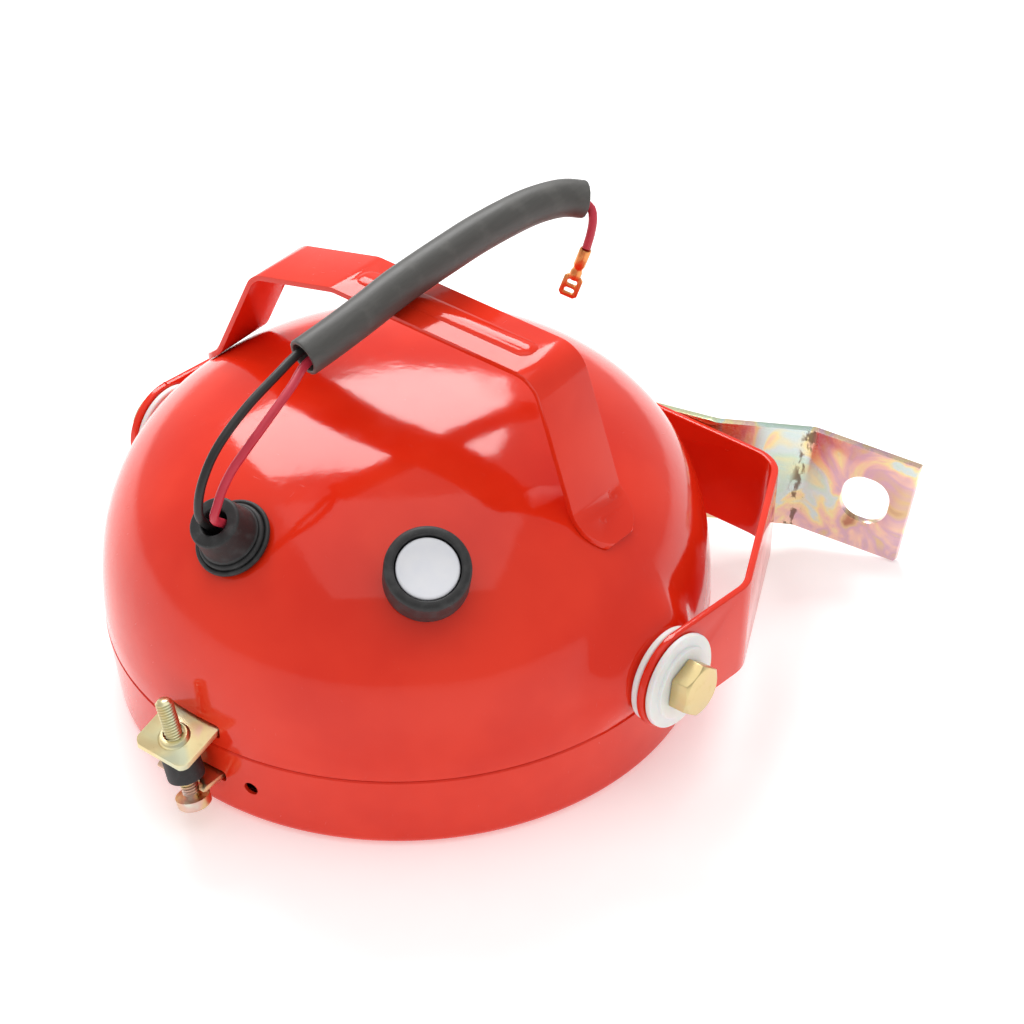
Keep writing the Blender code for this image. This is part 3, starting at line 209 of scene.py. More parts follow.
STEP_BEAD_IN = 0.0022
STEP_BEAD_Z = 0.0017
VALLEY = 0.0013
ROOT_FILLET = 0.0010
ROOT_FILLET_OUT = 0.0006
ROOT_FILLET_Z = 0.0040
NECK_SWELL = 0.0003
NECK_SWELL_Z = 0.0080
MOUTH_ROUND = 0.0006

# Clamp
CLAMP_X = -0.0020
CLAMP_Y = -0.0885
CLAMP_Z = 0.0262
CLAMP_LEAN = math.radians(-15)
LUG_WIDTH = 0.0178
LUG_THICK = 0.0016
LUG_SLOPE = math.radians(17)
LUG_REACH = 0.0066
LUG_HOOK = 0.0050
LUG_CORNER = 0.0030
LUG_BEND = 0.0024
LUG_TIP = math.acos(math.cos(LUG_SLOPE) * math.cos(CLAMP_LEAN))
LUG_COLLAR = 0.0010
LUG_COLLAR_RADIUS = 0.0040
SCREW_RADIUS = 0.0024
SCREW_TOP = 0.0117
SCREW_HEAD_RADIUS = 0.0046
SCREW_HEAD = 0.0030
SCREW_HOLE = 0.0028
SCREW_PITCH = 0.0008
SCREW_POINT = 0.0005
SCREW_HEAD_ROUND = 0.0008
SPACER_ROUND = 0.0005
SPACER_RADIUS = 0.0050
RIM_LUG_Z = 0.0126
RIM_LUG_BEND = 0.0011
RIM_LUG_WIDTH = 0.0166
RIM_LUG_SHORT = 0.0015
RIM_LIP = 0.0008

# Leads
WIRE_RADIUS = 0.0012
SLEEVE_RADIUS = 0.0051
SLEEVE_BORE = 0.0040
TERMINAL_BARREL = 0.0016
TERMINAL_BARREL_LENGTH = 0.0095
TERMINAL_WIDTH = 0.0052
TERMINAL_LENGTH = 0.0066
TERMINAL_THICK = 0.0008
TERMINAL_TURN = math.radians(70)
TAB_HOLE_WIDTH = 0.0027
TAB_HOLE_HEIGHT = 0.0015
TAB_HOLE_ROUND = 0.0006
TAB_HOLE_SPACING = 0.0026
TERMINAL_DIRECTION = Vector((-0.24, -0.25, -0.93))
ROUTE_STEP = 0.0012
SLEEVE_ROUTE = [
    (-0.0019, -0.0330, 0.1140), (-0.0001, -0.0232, 0.1162), (0.0011, -0.0127, 0.1182),
    (0.0018, -0.0014, 0.1200), (0.0026, 0.0098, 0.1211), (0.0033, 0.0180, 0.1218),
    (0.0039, 0.0261, 0.1223), (0.0049, 0.0352, 0.1226), (0.0060, 0.0447, 0.1224),
    (0.0074, 0.0518, 0.1218), (0.0093, 0.0577, 0.1208), (0.0123, 0.0620, 0.1194),
]
BLACK_ROUTE = [
    (-0.0039, -0.0653, 0.0773), (-0.0040, -0.0676, 0.0806), (-0.0030, -0.0718, 0.0862),
    (-0.0031, -0.0721, 0.0895), (-0.0031, -0.0713, 0.0934), (-0.0030, -0.0693, 0.0977),
    (-0.0030, -0.0657, 0.1021), (-0.0029, -0.0605, 0.1060), (-0.0029, -0.0520, 0.1100),
    (-0.0029, -0.0421, 0.1130), (-0.0032, -0.0330, 0.1150), (-0.0014, -0.0232, 0.1172),
    (-0.0002, -0.0127, 0.1192), (0.0005, -0.0014, 0.1210), (0.0013, 0.0098, 0.1221),
    (0.0020, 0.0180, 0.1228), (0.0026, 0.0261, 0.1233), (0.0036, 0.0352, 0.1236),
    (0.0046, 0.0449, 0.1234), (0.0058, 0.0510, 0.1229),
]
RED_ROUTE = [
    (-0.0006, -0.0635, 0.0787), (-0.0007, -0.0658, 0.0820), (0.0001, -0.0701, 0.0864),
    (0.0002, -0.0688, 0.0899), (0.0003, -0.0666, 0.0937), (0.0007, -0.0632, 0.0978),
    (0.0016, -0.0586, 0.1019), (0.0022, -0.0546, 0.1050), (0.0023, -0.0486, 0.1084),
    (0.0013, -0.0407, 0.1112), (-0.0006, -0.0330, 0.1130), (0.0012, -0.0232, 0.1152),
    (0.0024, -0.0127, 0.1172), (0.0031, -0.0014, 0.1190), (0.0039, 0.0098, 0.1201),
    (0.0046, 0.0180, 0.1208), (0.0052, 0.0261, 0.1213), (0.0062, 0.0352, 0.1216),
    (0.0073, 0.0447, 0.1214), (0.0087, 0.0515, 0.1208), (0.0106, 0.0570, 0.1198),
    (0.0127, 0.0610, 0.1190), (0.0147, 0.0620, 0.1175), (0.0158, 0.0613, 0.1148),
    (0.0160, 0.0601, 0.1112), (0.0157, 0.0586, 0.1072),
]

FRONT_VIEW = Matrix(((1, 0, 0, 0), (0, 0, -1, 0), (0, 1, 0, 0), (0, 0, 0, 1)))
SIDE_VIEW = Matrix(((0, 0, 1, 0), (1, 0, 0, 0), (0, 1, 0, 0), (0, 0, 0, 1)))


# ---- camera, floor and lights

def set_camera():
    """Long lens looking down on the lamp from its front right."""
    out = Vector((math.sin(CAMERA_TURN) * math.cos(CAMERA_HEIGHT),
                  -math.cos(CAMERA_TURN) * math.cos(CAMERA_HEIGHT), math.sin(CAMERA_HEIGHT)))
    right = Vector((math.cos(CAMERA_TURN), math.sin(CAMERA_TURN), 0))
    up = out.cross(right)
    level = Matrix((right, up, out)).transposed().to_4x4()
    camera = bpy.data.objects.new("camera", bpy.data.cameras.new("camera"))
    bpy.context.scene.collection.objects.link(camera)
    camera.matrix_world = Matrix.Translation(CAMERA_PLACE) @ level @ Matrix.Rotation(CAMERA_ROLL, 4, "Z")
    camera.data.lens = CAMERA_LENS
    camera.data.clip_start = CAMERA_NEAR
    bpy.context.scene.camera = camera


def softbox(name, place, width, height, power):
    """A soft rectangular light aimed at the lamp."""
    data = bpy.data.lights.new(name, "AREA")
    data.shape = "RECTANGLE"
    data.size = width
    data.size_y = height
    data.energy = power
    light = bpy.data.objects.new(name, data)
    bpy.context.scene.collection.objects.link(light)
    light.location = place
    light.rotation_euler = (LIGHT_TARGET - Vector(place)).to_track_quat("-Z", "Y").to_euler()


def set_studio():
    """Pale floor, even surroundings and the soft boxes."""
    only(None)
    bpy.ops.mesh.primitive_plane_add(size=FLOOR_SIZE, location=(0, 0, -GAP))
    floor = bpy.context.object
    floor.name = "studio_floor"
    floor.data.materials.append(studio_floor())
    world = bpy.data.worlds.new("studio")
    bpy.context.scene.world = world
    world.use_nodes = True
    background = world.node_tree.nodes["Background"]
    background.inputs["Color"].default_value = WORLD_COLOUR
    background.inputs["Strength"].default_value = WORLD_STRENGTH
    for soft_box in SOFT_BOXES:
        softbox(*soft_box)
    scene = bpy.context.scene
    scene.view_settings.view_transform = "Standard"
    scene.view_settings.look = "None"


# ---- finishes

class Value:
    """A shader socket that can be used in sums."""

    def __init__(self, finish, socket):
        self.finish = finish
        self.socket = socket

    def math(self, operation, *others, clamp=False):
        inputs = dict(enumerate((self,) + others))
        settings = {"operation": operation, "use_clamp": clamp}
        return self.finish.node("ShaderNodeMath", settings, inputs)

    def __add__(self, other):
        return self.math("ADD", other)

    def __mul__(self, other):
        return self.math("MULTIPLY", other)

    def __sub__(self, other):
        return self.math("SUBTRACT", other)

    def __rsub__(self, other):
        return self.finish.node("ShaderNodeMath", {"operation": "SUBTRACT"}, {0: other, 1: self})

    __radd__ = __add__
    __rmul__ = __mul__

    def between(self, low, high):
        """0 below low, 1 above high, and smooth in between."""
        settings = {"interpolation_type": "SMOOTHSTEP"}
        inputs = {"Value": self, "From Min": low, "From Max": high}
        return self.finish.node("ShaderNodeMapRange", settings, inputs, "Result")


class Finish:
    """A material with one Principled shader, and the nodes that vary it over the piece."""

    def __init__(self, name, colour, roughness, metallic=0.0, **fixed):
        self.material = bpy.data.materials.new(name)
        self.material.use_nodes = True
        self.tree = self.material.node_tree
        self.shader = self.tree.nodes["Principled BSDF"]
        self.set("Base Color", (*colour, 1))
        self.set("Roughness", roughness)
        self.set("Metallic", metallic)
        for socket, value in fixed.items():
            self.set(socket.replace("_", " ").title().replace("Ior", "IOR"), value)

    def set(self, socket, value):
        target = self.shader.inputs[socket]
        if isinstance(value, Value):
            self.tree.links.new(value.socket, target)
        else:
            target.default_value = value

    def node(self, kind, settings=None, inputs=None, output=0):
        made = self.tree.nodes.new(kind)
        for key, value in (settings or {}).items():
            setattr(made, key, value)
        for key, value in (inputs or {}).items():
            if isinstance(value, Value):
                self.tree.links.new(value.socket, made.inputs[key])
            else:
                made.inputs[key].default_value = value
        return Value(self, made.outputs[output])

    def place(self, scale=(1, 1, 1), turn=(0, 0, 0)):
        """The point on the piece in metres, stretched and turned."""
        point = self.node("ShaderNodeTexCoord", output="Object")
        return self.node("ShaderNodeMapping", inputs={"Vector": point, "Scale": scale, "Rotation": turn})

    def along(self, direction):
        """Distance in metres along a direction."""
        settings = {"operation": "DOT_PRODUCT"}
        return self.node("ShaderNodeVectorMath", settings, {0: self.place(), 1: tuple(direction)}, "Value")

    def noise(self, size, detail=2.0, stretch=(1, 1, 1), turn=(0, 0, 0), distortion=0.0):
        """Noise whose features are about the given size."""
        inputs = {"Vector": self.place(stretch, turn), "Scale": 1 / size, "Detail": detail,
                  "Distortion": distortion}
        return self.node("ShaderNodeTexNoise", inputs=inputs)

    def mix(self, low, high, share):
        """A colour from low to high."""
        inputs = {0: share, 6: low if isinstance(low, Value) else (*low, 1),
                  7: high if isinstance(high, Value) else (*high, 1)}
        return self.node("ShaderNodeMix", {"data_type": "RGBA"}, inputs, 2)

    def bands(self, share, stops):
        """A colour that steps through (place, colour) stops."""
        made = self.tree.nodes.new("ShaderNodeValToRGB")
        ramp = made.color_ramp
        while len(ramp.elements) < len(stops):
            ramp.elements.new(1.0)
        for element, (spot, colour) in zip(ramp.elements, stops):
            element.position = spot
            element.color = (*colour, 1)
        self.tree.links.new(share.socket, made.inputs[0])
        return Value(self, made.outputs[0])

    def relief(self, height, depth, strength=1.0):
        """Surface relief of the given depth in metres."""
        inputs = {"Strength": strength, "Distance": depth, "Height": height}
        self.set("Normal", self.node("ShaderNodeBump", inputs=inputs))


def red_paint(name):
    """Gloss vermilion stove enamel with orange peel, rubbed patches and hairline scratches."""
    finish = Finish(name, (0.80, 0.028, 0.008), 0.14, specular_ior_level=0.38)
    cloud = finish.noise(0.035, 3)
    tone = cloud.between(0.35, 0.65)
    finish.set("Base Color", finish.mix((0.76, 0.024, 0.006), (0.84, 0.036, 0.011), tone))
    hair = finish.noise(0.0035, 2, (1, 12, 1), (0.3, 0.9, 0.7)).between(0.74, 0.78)
    other_hair = finish.noise(0.004, 2, (14, 1, 1), (1.1, 0.2, 0.4)).between(0.75, 0.79)
    rubbed = finish.noise(0.012, 4).between(0.55, 0.72)
    finish.set("Roughness", 0.07 + cloud * 0.05 + rubbed * 0.06 + hair * 0.25 + other_hair * 0.2)
    peel = finish.noise(0.0016, 1)
    wave = finish.noise(0.009, 1)
    finish.relief(peel * 0.5 + wave * 2.0 - hair * 0.6 - other_hair * 0.6, 0.00003)
    return finish.material


def plated_zinc(name, gold=1.0):
    """Yellow chromated zinc: gold with pink, green and pale blue clouds, and fine rolling lines."""
    finish = Finish(name, (0.7, 0.6, 0.35), 0.3, 1.0)
    cloud = finish.noise(0.016, 2, distortion=1.2)
    stops = [
        (0.30, (0.62, 0.68, 0.52)), (0.40, (0.80, 0.72, 0.42)), (0.48, (0.78, 0.62, 0.34)),
        (0.56, (0.80, 0.52, 0.42)), (0.63, (0.72, 0.50, 0.50)), (0.70, (0.70, 0.72, 0.68)),
    ]
    colours = finish.bands(cloud, stops)
    grain = finish.noise(0.0004, 2, (1, 1, 8))
    brass = finish.mix((0.60, 0.47, 0.22), (0.72, 0.58, 0.30), grain)
    finish.set("Base Color", finish.mix(colours, brass, gold))
    spots = finish.noise(0.0022, 3).between(0.58, 0.72)
    finish.set("Roughness", 0.24 + grain * 0.14 + spots * 0.14)
    finish.relief(grain + spots * 0.5, 0.00001)
    return finish.material


def rainbow_zinc(name, start, along, reach):
    """Yellow chromate in rainbow bands along a piece, from a start over a reach, with a creased bend."""
    finish = Finish(name, (0.7, 0.6, 0.35), 0.3, 1.0)
    run = finish.along(along) - start.dot(along)
    cloud = finish.noise(0.014, 3, distortion=0.8)
    share = run * (0.62 / reach) + (cloud - 0.5) * 1.5 + 0.16
    stops = [
        (0.06, (0.70, 0.60, 0.34)), (0.20, (0.72, 0.76, 0.46)), (0.32, (0.56, 0.74, 0.62)),
        (0.42, (0.62, 0.74, 0.72)), (0.50, (0.84, 0.74, 0.38)), (0.60, (0.82, 0.56, 0.46)),
        (0.70, (0.66, 0.44, 0.52)), (0.82, (0.70, 0.52, 0.30)), (0.94, (0.46, 0.22, 0.14)),
    ]
    grain = finish.noise(0.0004, 2, (1, 1, 8))
    near = 1 - (run - CREASE_PLACE).math("ABSOLUTE").between(0.0006, 0.0026)
    crease = near * finish.noise(0.0024, 3, (1, 1, 0.5)).between(0.50, 0.60)
    finish.set("Base Color", finish.mix(finish.bands(share, stops), (0.16, 0.10, 0.06), crease * 0.8))
    finish.set("Roughness", 0.20 + grain * 0.12 + crease * 0.3)
    finish.relief(grain - crease * 3, 0.00001)
    return finish.material


def milky_nylon():
    """Cloudy white nylon that light sinks into."""
    finish = Finish("milky_nylon", (0.86, 0.86, 0.84), 0.42, subsurface_weight=0.35, subsurface_scale=0.003)
    cloud = finish.noise(0.004, 3)
    finish.set("Base Color", finish.mix((0.80, 0.80, 0.78), (0.90, 0.90, 0.88), cloud))
    finish.set("Roughness", 0.36 + cloud * 0.16)
    finish.relief(finish.noise(0.0012, 2), 0.00002)
    return finish.material


def dusty_rubber(name, shade, dust):
    """Matt black rubber with a bloom of dust and small moulding marks."""
    finish = Finish(name, (shade, shade, shade), 0.6)
    bloom = finish.noise(0.003, 4).between(0.45, 0.75)
    speck = finish.noise(0.0005, 1).between(0.68, 0.76)
    light = shade + dust
    dusty = bloom * 0.6 + speck * 0.4
    finish.set("Base Color", finish.mix((shade, shade, shade * 1.05), (light, light, light), dusty))
    finish.set("Roughness", 0.52 + bloom * 0.2)
    finish.relief(finish.noise(0.0006, 3) + finish.noise(0.004, 1), 0.00004)
    return finish.material


def grey_pvc():
    """Warm grey sleeve with faint drawn lines and rubbed spots."""
    finish = Finish("grey_pvc", (0.075, 0.073, 0.068), 0.45)
    line = finish.noise(0.0009, 3, (1, 0.05, 1))
    rub = finish.noise(0.006, 3).between(0.5, 0.75)
    finish.set("Base Color", finish.mix((0.062, 0.061, 0.057), (0.115, 0.112, 0.104), line * 0.5 + rub * 0.5))
    finish.set("Roughness", 0.40 + line * 0.12 + rub * 0.08)
    finish.relief(line + finish.noise(0.0005, 2) * 0.6, 0.00003)
    return finish.material


def wire_cover(name, low, high):
    """Soft plastic insulation with a slight waviness."""
    finish = Finish(name, low, 0.35)
    cloud = finish.noise(0.003, 3)
    finish.set("Base Color", finish.mix(low, high, cloud))
    finish.set("Roughness", 0.28 + cloud * 0.2)
    finish.relief(finish.noise(0.0012, 2), 0.00004)
    return finish.material


def bright_metal(name, low, high, roughness, size=0.0012):
    """Plain metal with cloudy tarnish and fine marks."""
    finish = Finish(name, low, roughness, 1.0)
    cloud = finish.noise(size * 3, 4)
    finish.set("Base Color", finish.mix(low, high, cloud))
    finish.set("Roughness", roughness + cloud * 0.15)
    finish.relief(finish.noise(size, 3, (1, 1, 5)), 0.00001)
    return finish.material


def blank_label():
    """White printed disc without any print, with a cloudy white to grey tone."""
    finish = Finish("blank_label", (0.80, 0.81, 0.85), 0.35, coat_weight=0.3, coat_roughness=0.15)
    cloud = finish.noise(0.005, 3)
    finish.set("Base Color", finish.mix((0.74, 0.76, 0.83), (0.86, 0.86, 0.88), cloud))
    finish.set("Roughness", 0.28 + cloud * 0.15)
    finish.relief(finish.noise(0.002, 2), 0.00002)
    return finish.material


def clear_glass(name):
    """Pressed glass with fine flutes."""
    finish = Finish(name, (0.95, 0.97, 0.97), 0.04, transmission_weight=0.9, ior=1.5)
    flute = finish.noise(0.004, 1, (1, 0.05, 1))
    finish.set("Roughness", 0.02 + flute * 0.05)
    finish.relief(flute, 0.0002)
    return finish.material


def studio_floor():
    """Pale paper that glows a little, so that shadows stay light."""
    finish = Finish("studio_floor", (0.9, 0.9, 0.9), 0.6, emission_color=(1, 1, 1, 1),
                    emission_strength=FLOOR_GLOW)
    grain = finish.noise(0.01, 2)
    finish.set("Base Color", finish.mix((0.88, 0.88, 0.88), (0.92, 0.92, 0.92), grain))
    return finish.material


# ---- modelling helpers

def only(piece):
    """Leaves edit mode and makes one piece the only selected one."""
    if bpy.context.mode != "OBJECT":
        bpy.ops.object.mode_set(mode="OBJECT")
    bpy.ops.object.select_all(action="DESELECT")
    if piece:
        piece.select_set(True)
        bpy.context.view_layer.objects.active = piece


def edit(piece):
    """Makes a piece the selected one, with nothing selected in its mesh."""
    only(piece)
    bpy.ops.object.mode_set(mode="EDIT")
    bpy.ops.mesh.select_all(action="DESELECT")
    bpy.ops.object.mode_set(mode="OBJECT")


def pick(piece, mode, wanted):
    """Goes into edit mode with the vertices, edges or faces that pass the test selected."""
    edit(piece)
    mesh = piece.data
    if mode == "FACE":
        for face in mesh.polygons:
            face.select = wanted(face.center, face.normal)
    elif mode == "EDGE":
        for line in mesh.edges:
            ends = [mesh.vertices[i].co for i in line.vertices]
            line.select = wanted(*ends)
    else:
        for vertex in mesh.vertices:
            vertex.select = wanted(vertex.co)
    bpy.ops.object.mode_set(mode="EDIT")
    bpy.ops.mesh.select_mode(type=mode)


def draw(points):
    """Starts a mesh as one point and draws a line through the others; all of it stays selected."""
    only(None)
    bpy.ops.mesh.primitive_plane_add(size=BOWL_EDGE, location=points[0])
    bpy.ops.object.transform_apply(location=True, rotation=True, scale=True)
    bpy.ops.object.mode_set(mode="EDIT")
    bpy.ops.mesh.select_mode(type="VERT")
    bpy.ops.mesh.select_all(action="SELECT")
    bpy.ops.mesh.merge(type="CENTER")
    for here, there in zip(points, points[1:]):
        step = Vector(there) - Vector(here)
        bpy.ops.mesh.extrude_vertices_move(TRANSFORM_OT_translate={"value": step})
    bpy.ops.mesh.select_all(action="SELECT")


def settle(name, seat=None):
    """Ends the edit, and puts the piece in its place on the lamp."""
    bpy.ops.mesh.select_all(action="SELECT")
    bpy.ops.mesh.remove_doubles(threshold=TINY)
    bpy.ops.mesh.normals_make_consistent(inside=False)
    bpy.ops.object.mode_set(mode="OBJECT")
    piece = bpy.context.object
    piece.name = name
    if seat is not None:
        piece.matrix_world = seat
        bpy.ops.object.transform_apply(location=True, rotation=True, scale=True)
    return piece


def turned(name, outline, seat=None, steps=64, ring=False):
    """A body turned about Z from a (radius, height) outline, from pole to pole or as a ring."""
    points = [(radius, 0, height) for radius, height in outline]
    draw(points + points[:1] if ring else points)
    bpy.ops.mesh.spin(steps=steps, angle=2 * math.pi, center=(0, 0, 0), axis=(0, 0, 1))
    return settle(name, seat)


def prism(name, outline, low, high, seat=None):
    """A block of a flat outline, from low to high along its own Z."""
    points = [(p[0], p[1], low) for p in outline]
    draw(points + points[:1])
    bpy.ops.mesh.remove_doubles(threshold=TINY)
    bpy.ops.mesh.edge_face_add()
    bpy.ops.mesh.extrude_region_move(TRANSFORM_OT_translate={"value": (0, 0, high - low)})
    return settle(name, seat)


def combine(piece, tool, operation):
    """Joins, cuts or keeps the common part with a tool, which then goes."""
    only(piece)
    modifier = piece.modifiers.new(operation, "BOOLEAN")
    modifier.operation = operation
    modifier.solver = "EXACT"
    modifier.object = tool
    bpy.ops.object.modifier_apply(modifier=modifier.name)
    bpy.data.objects.remove(tool, do_unlink=True)
    return piece


def cut_hole(piece, outline, low, high, seat=None):
    """Cuts a straight hole with the given outline."""
    return combine(piece, prism("hole", outline, low, high, seat), "DIFFERENCE")


def soften(piece, width, steps=3, angle=35):
    """Rounds every edge sharper than the angle."""
    only(piece)
    modifier = piece.modifiers.new("soft_edges", "BEVEL")
    modifier.width = width
    modifier.segments = steps
    modifier.limit_method = "ANGLE"
    modifier.angle_limit = math.radians(angle)
    modifier.use_clamp_overlap = True
    bpy.ops.object.modifier_apply(modifier=modifier.name)
    return piece


def smooth(piece, angle=35):
    """Smooth shading, apart from edges sharper than the angle."""
    only(piece)
    bpy.ops.object.shade_smooth_by_angle(angle=math.radians(angle))
    return piece


def dress(piece, finish, slot, body, *nodes):
    """Gives a piece its finish and its body, and hides the plain nodes it stands for."""
    piece.data.materials.clear()
    piece.data.materials.append(finish)
    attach(piece, body)
    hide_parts(*nodes)
    return piece


def arc(centre, radius, start, end, steps=8):
    """Points on an arc, with its start and end in degrees."""
    angles = [math.radians(start + (end - start) * i / steps) for i in range(steps + 1)]
    return [(centre[0] + radius * math.cos(a), centre[1] + radius * math.sin(a)) for a in angles]


def circle(radius, steps=48):
    """Points round a whole circle."""
    return arc((0, 0), radius, 0, 360 - 360 / steps, steps - 1)


def hexagon(flats, turn=0.0):
    """Corners of a hexagon with the given size across its flats."""
    return [(flats / math.sqrt(3) * math.cos(turn + math.pi / 3 * i),
             flats / math.sqrt(3) * math.sin(turn + math.pi / 3 * i)) for i in range(6)]


def rounded_rectangle(length, width, corner, steps=8):
    """Outline of a rectangle with round corners."""
    points = []
    for quarter, (side_x, side_y) in enumerate([(1, 1), (-1, 1), (-1, -1), (1, -1)]):
        centre = (side_x * (length / 2 - corner), side_y * (width / 2 - corner))
        points += arc(centre, corner, 90 * quarter, 90 * quarter + 90, steps)
    return points


def bent_path(corners, bend, steps=8):
    """A path through the corners with each corner turned into an arc of the bend radius."""
    path = [Vector(corners[0])]
    for before, corner, after in zip(corners, corners[1:], corners[2:]):
        before, corner, after = Vector(before), Vector(corner), Vector(after)
        incoming = (corner - before).normalized()
        turn = incoming.angle_signed((after - corner).normalized())
        side = math.copysign(1, turn)
        start = corner - incoming * bend * math.tan(abs(turn) / 2)
        centre = start + Vector((incoming.y, -incoming.x)) * bend * side
        first = math.atan2(start.y - centre.y, start.x - centre.x)
        path += [Vector(p) for p in arc(centre, bend, math.degrees(first), math.degrees(first - turn), steps)]
    path.append(Vector(corners[-1]))
    return path


def strip_outline(corners, bend, thickness):
    """Outline of a bent strip seen edge on, about its middle line."""
    path = bent_path(corners, bend)
    left, right = [], []
    for i, point in enumerate(path):
        along = (path[min(i + 1, len(path) - 1)] - path[max(i - 1, 0)]).normalized()
        across = Vector((-along.y, along.x)) * thickness / 2
        left.append(point + across)
        right.append(point - across)
    return left + right[::-1]


def smooth_route(points, spacing=ROUTE_STEP):
    """Points along a smooth curve through the route."""
    route = [Vector(p) for p in points]
    route = [2 * route[0] - route[1]] + route + [2 * route[-1] - route[-2]]
    fine = []
    for a, b, c, d in zip(route, route[1:], route[2:], route[3:]):
        steps = max(1, round((c - b).length / spacing))
        for i in range(steps):
            t = i / steps
            fine.append(0.5 * (2 * b + (c - a) * t + (2 * a - 5 * b + 4 * c - d) * t ** 2
                               + (3 * b - a - 3 * c + d) * t ** 3))
    fine.append(route[-2])
    return fine


def route_length(points):
    """Length of a line through the points."""
    return sum((b - a).length for a, b in zip(points, points[1:]))


def run_curve(name, route, radius, capped=True):
    """A round curve along a route."""
    curve = bpy.data.curves.new(name, "CURVE")
    curve.dimensions = "3D"
    curve.bevel_depth = radius
    curve.bevel_resolution = 6
    curve.use_fill_caps = capped
    spline = curve.splines.new("POLY")
    spline.points.add(len(route) - 1)
    for spline_point, spot in zip(spline.points, route):
        spline_point.co = (*spot, 1)
        spline_point.radius = 1
    spline.use_smooth = True
    piece = bpy.data.objects.new(name, curve)
    bpy.context.scene.collection.objects.link(piece)
    return piece


def bowl_height(radius):
    """Height of the bowl's skin at a distance from its axis."""
    return SEAM_Z + BOWL_RISE * (1 - (radius / BOWL_RADIUS) ** BOWL_POWER) ** (1 / BOWL_POWER)


def bowl_slope(radius):
    """Lean of the bowl's skin away from level at a distance from its axis."""
    across = (radius / BOWL_RADIUS) ** (BOWL_POWER - 1) / BOWL_RADIUS
    up = ((bowl_height(radius) - SEAM_Z) / BOWL_RISE) ** (BOWL_POWER - 1) / BOWL_RISE
    return math.atan2(across, up)


def bowl_frame(radius, angle):
    """A place on the bowl's skin, with Z standing square to it."""
    spot = Matrix.Rotation(angle, 4, "Z") @ Matrix.Translation((radius, 0, bowl_height(radius)))
    return spot @ Matrix.Rotation(bowl_slope(radius), 4, "Y")


SWITCH_SEAT = bowl_frame(SWITCH_RADIUS, SWITCH_ANGLE)
GROMMET_SEAT = bowl_frame(GROMMET_RADIUS, GROMMET_ANGLE)
TILT_SEAT = Matrix.Translation((0, 0, PIVOT_Z)) @ Matrix.Rotation(BRACKET_TILT, 4, "X")
BAR_FACE = TILT_SEAT @ Matrix.Translation((MOUNT_BOLT_X, BAR_DISTANCE, 0))
SWIVEL_SEAT = BAR_FACE @ Matrix.Rotation(MOUNT_SWIVEL, 4, "Y") @ Matrix.Translation((0, GAP, 0))
MOUNT_AXIS = BAR_FACE @ Matrix.Rotation(-math.pi / 2, 4, "X")
CLAMP_AXIS = Matrix.Translation((CLAMP_X, CLAMP_Y, CLAMP_Z)) @ Matrix.Rotation(CLAMP_LEAN, 4, "Y")


# ---- leads

def make_leads():
    """The two wires from the grommet, the sleeve round them and the crimped terminal."""
    copper = bright_metal("bright_copper", (0.72, 0.25, 0.07), (0.88, 0.42, 0.16), 0.24)
    terminal = dress(make_terminal(), copper, "copper", "root", "terminal")
    sleeve = dress(make_sleeve(), grey_pvc(), "grey_pvc", "root", "cable_sleeve")
    black = smooth_route(BLACK_ROUTE)
    wire = run_curve("black_lead", black, WIRE_RADIUS)
    dress(wire, wire_cover("black_cover", (0.010, 0.009, 0.009), (0.020, 0.018, 0.018)), "black_wire",
          "root", "black_wire")
    route_length(black)
    red = smooth_route(RED_ROUTE)
    wire = run_curve("red_lead", red, WIRE_RADIUS)
    dress(wire, wire_cover("red_cover", (0.52, 0.022, 0.045), (0.66, 0.04, 0.075)), "red_wire",
          "root", "red_wire")
    route_length(red)


def make_sleeve():
    """Soft tube with an open bore and rounded ends."""
    tube = run_curve("lead_sleeve", smooth_route(SLEEVE_ROUTE), SLEEVE_RADIUS, capped=False)
    only(tube)
    bpy.ops.object.convert(target="MESH")
    tube = bpy.context.object
    wall = tube.modifiers.new("wall", "SOLIDIFY")
    wall.thickness = SLEEVE_RADIUS - SLEEVE_BORE
    wall.offset = -1
    wall.use_even_offset = True
    bpy.ops.object.modifier_apply(modifier=wall.name)
    return smooth(soften(tube, 0.0003, 3, 50), 50)


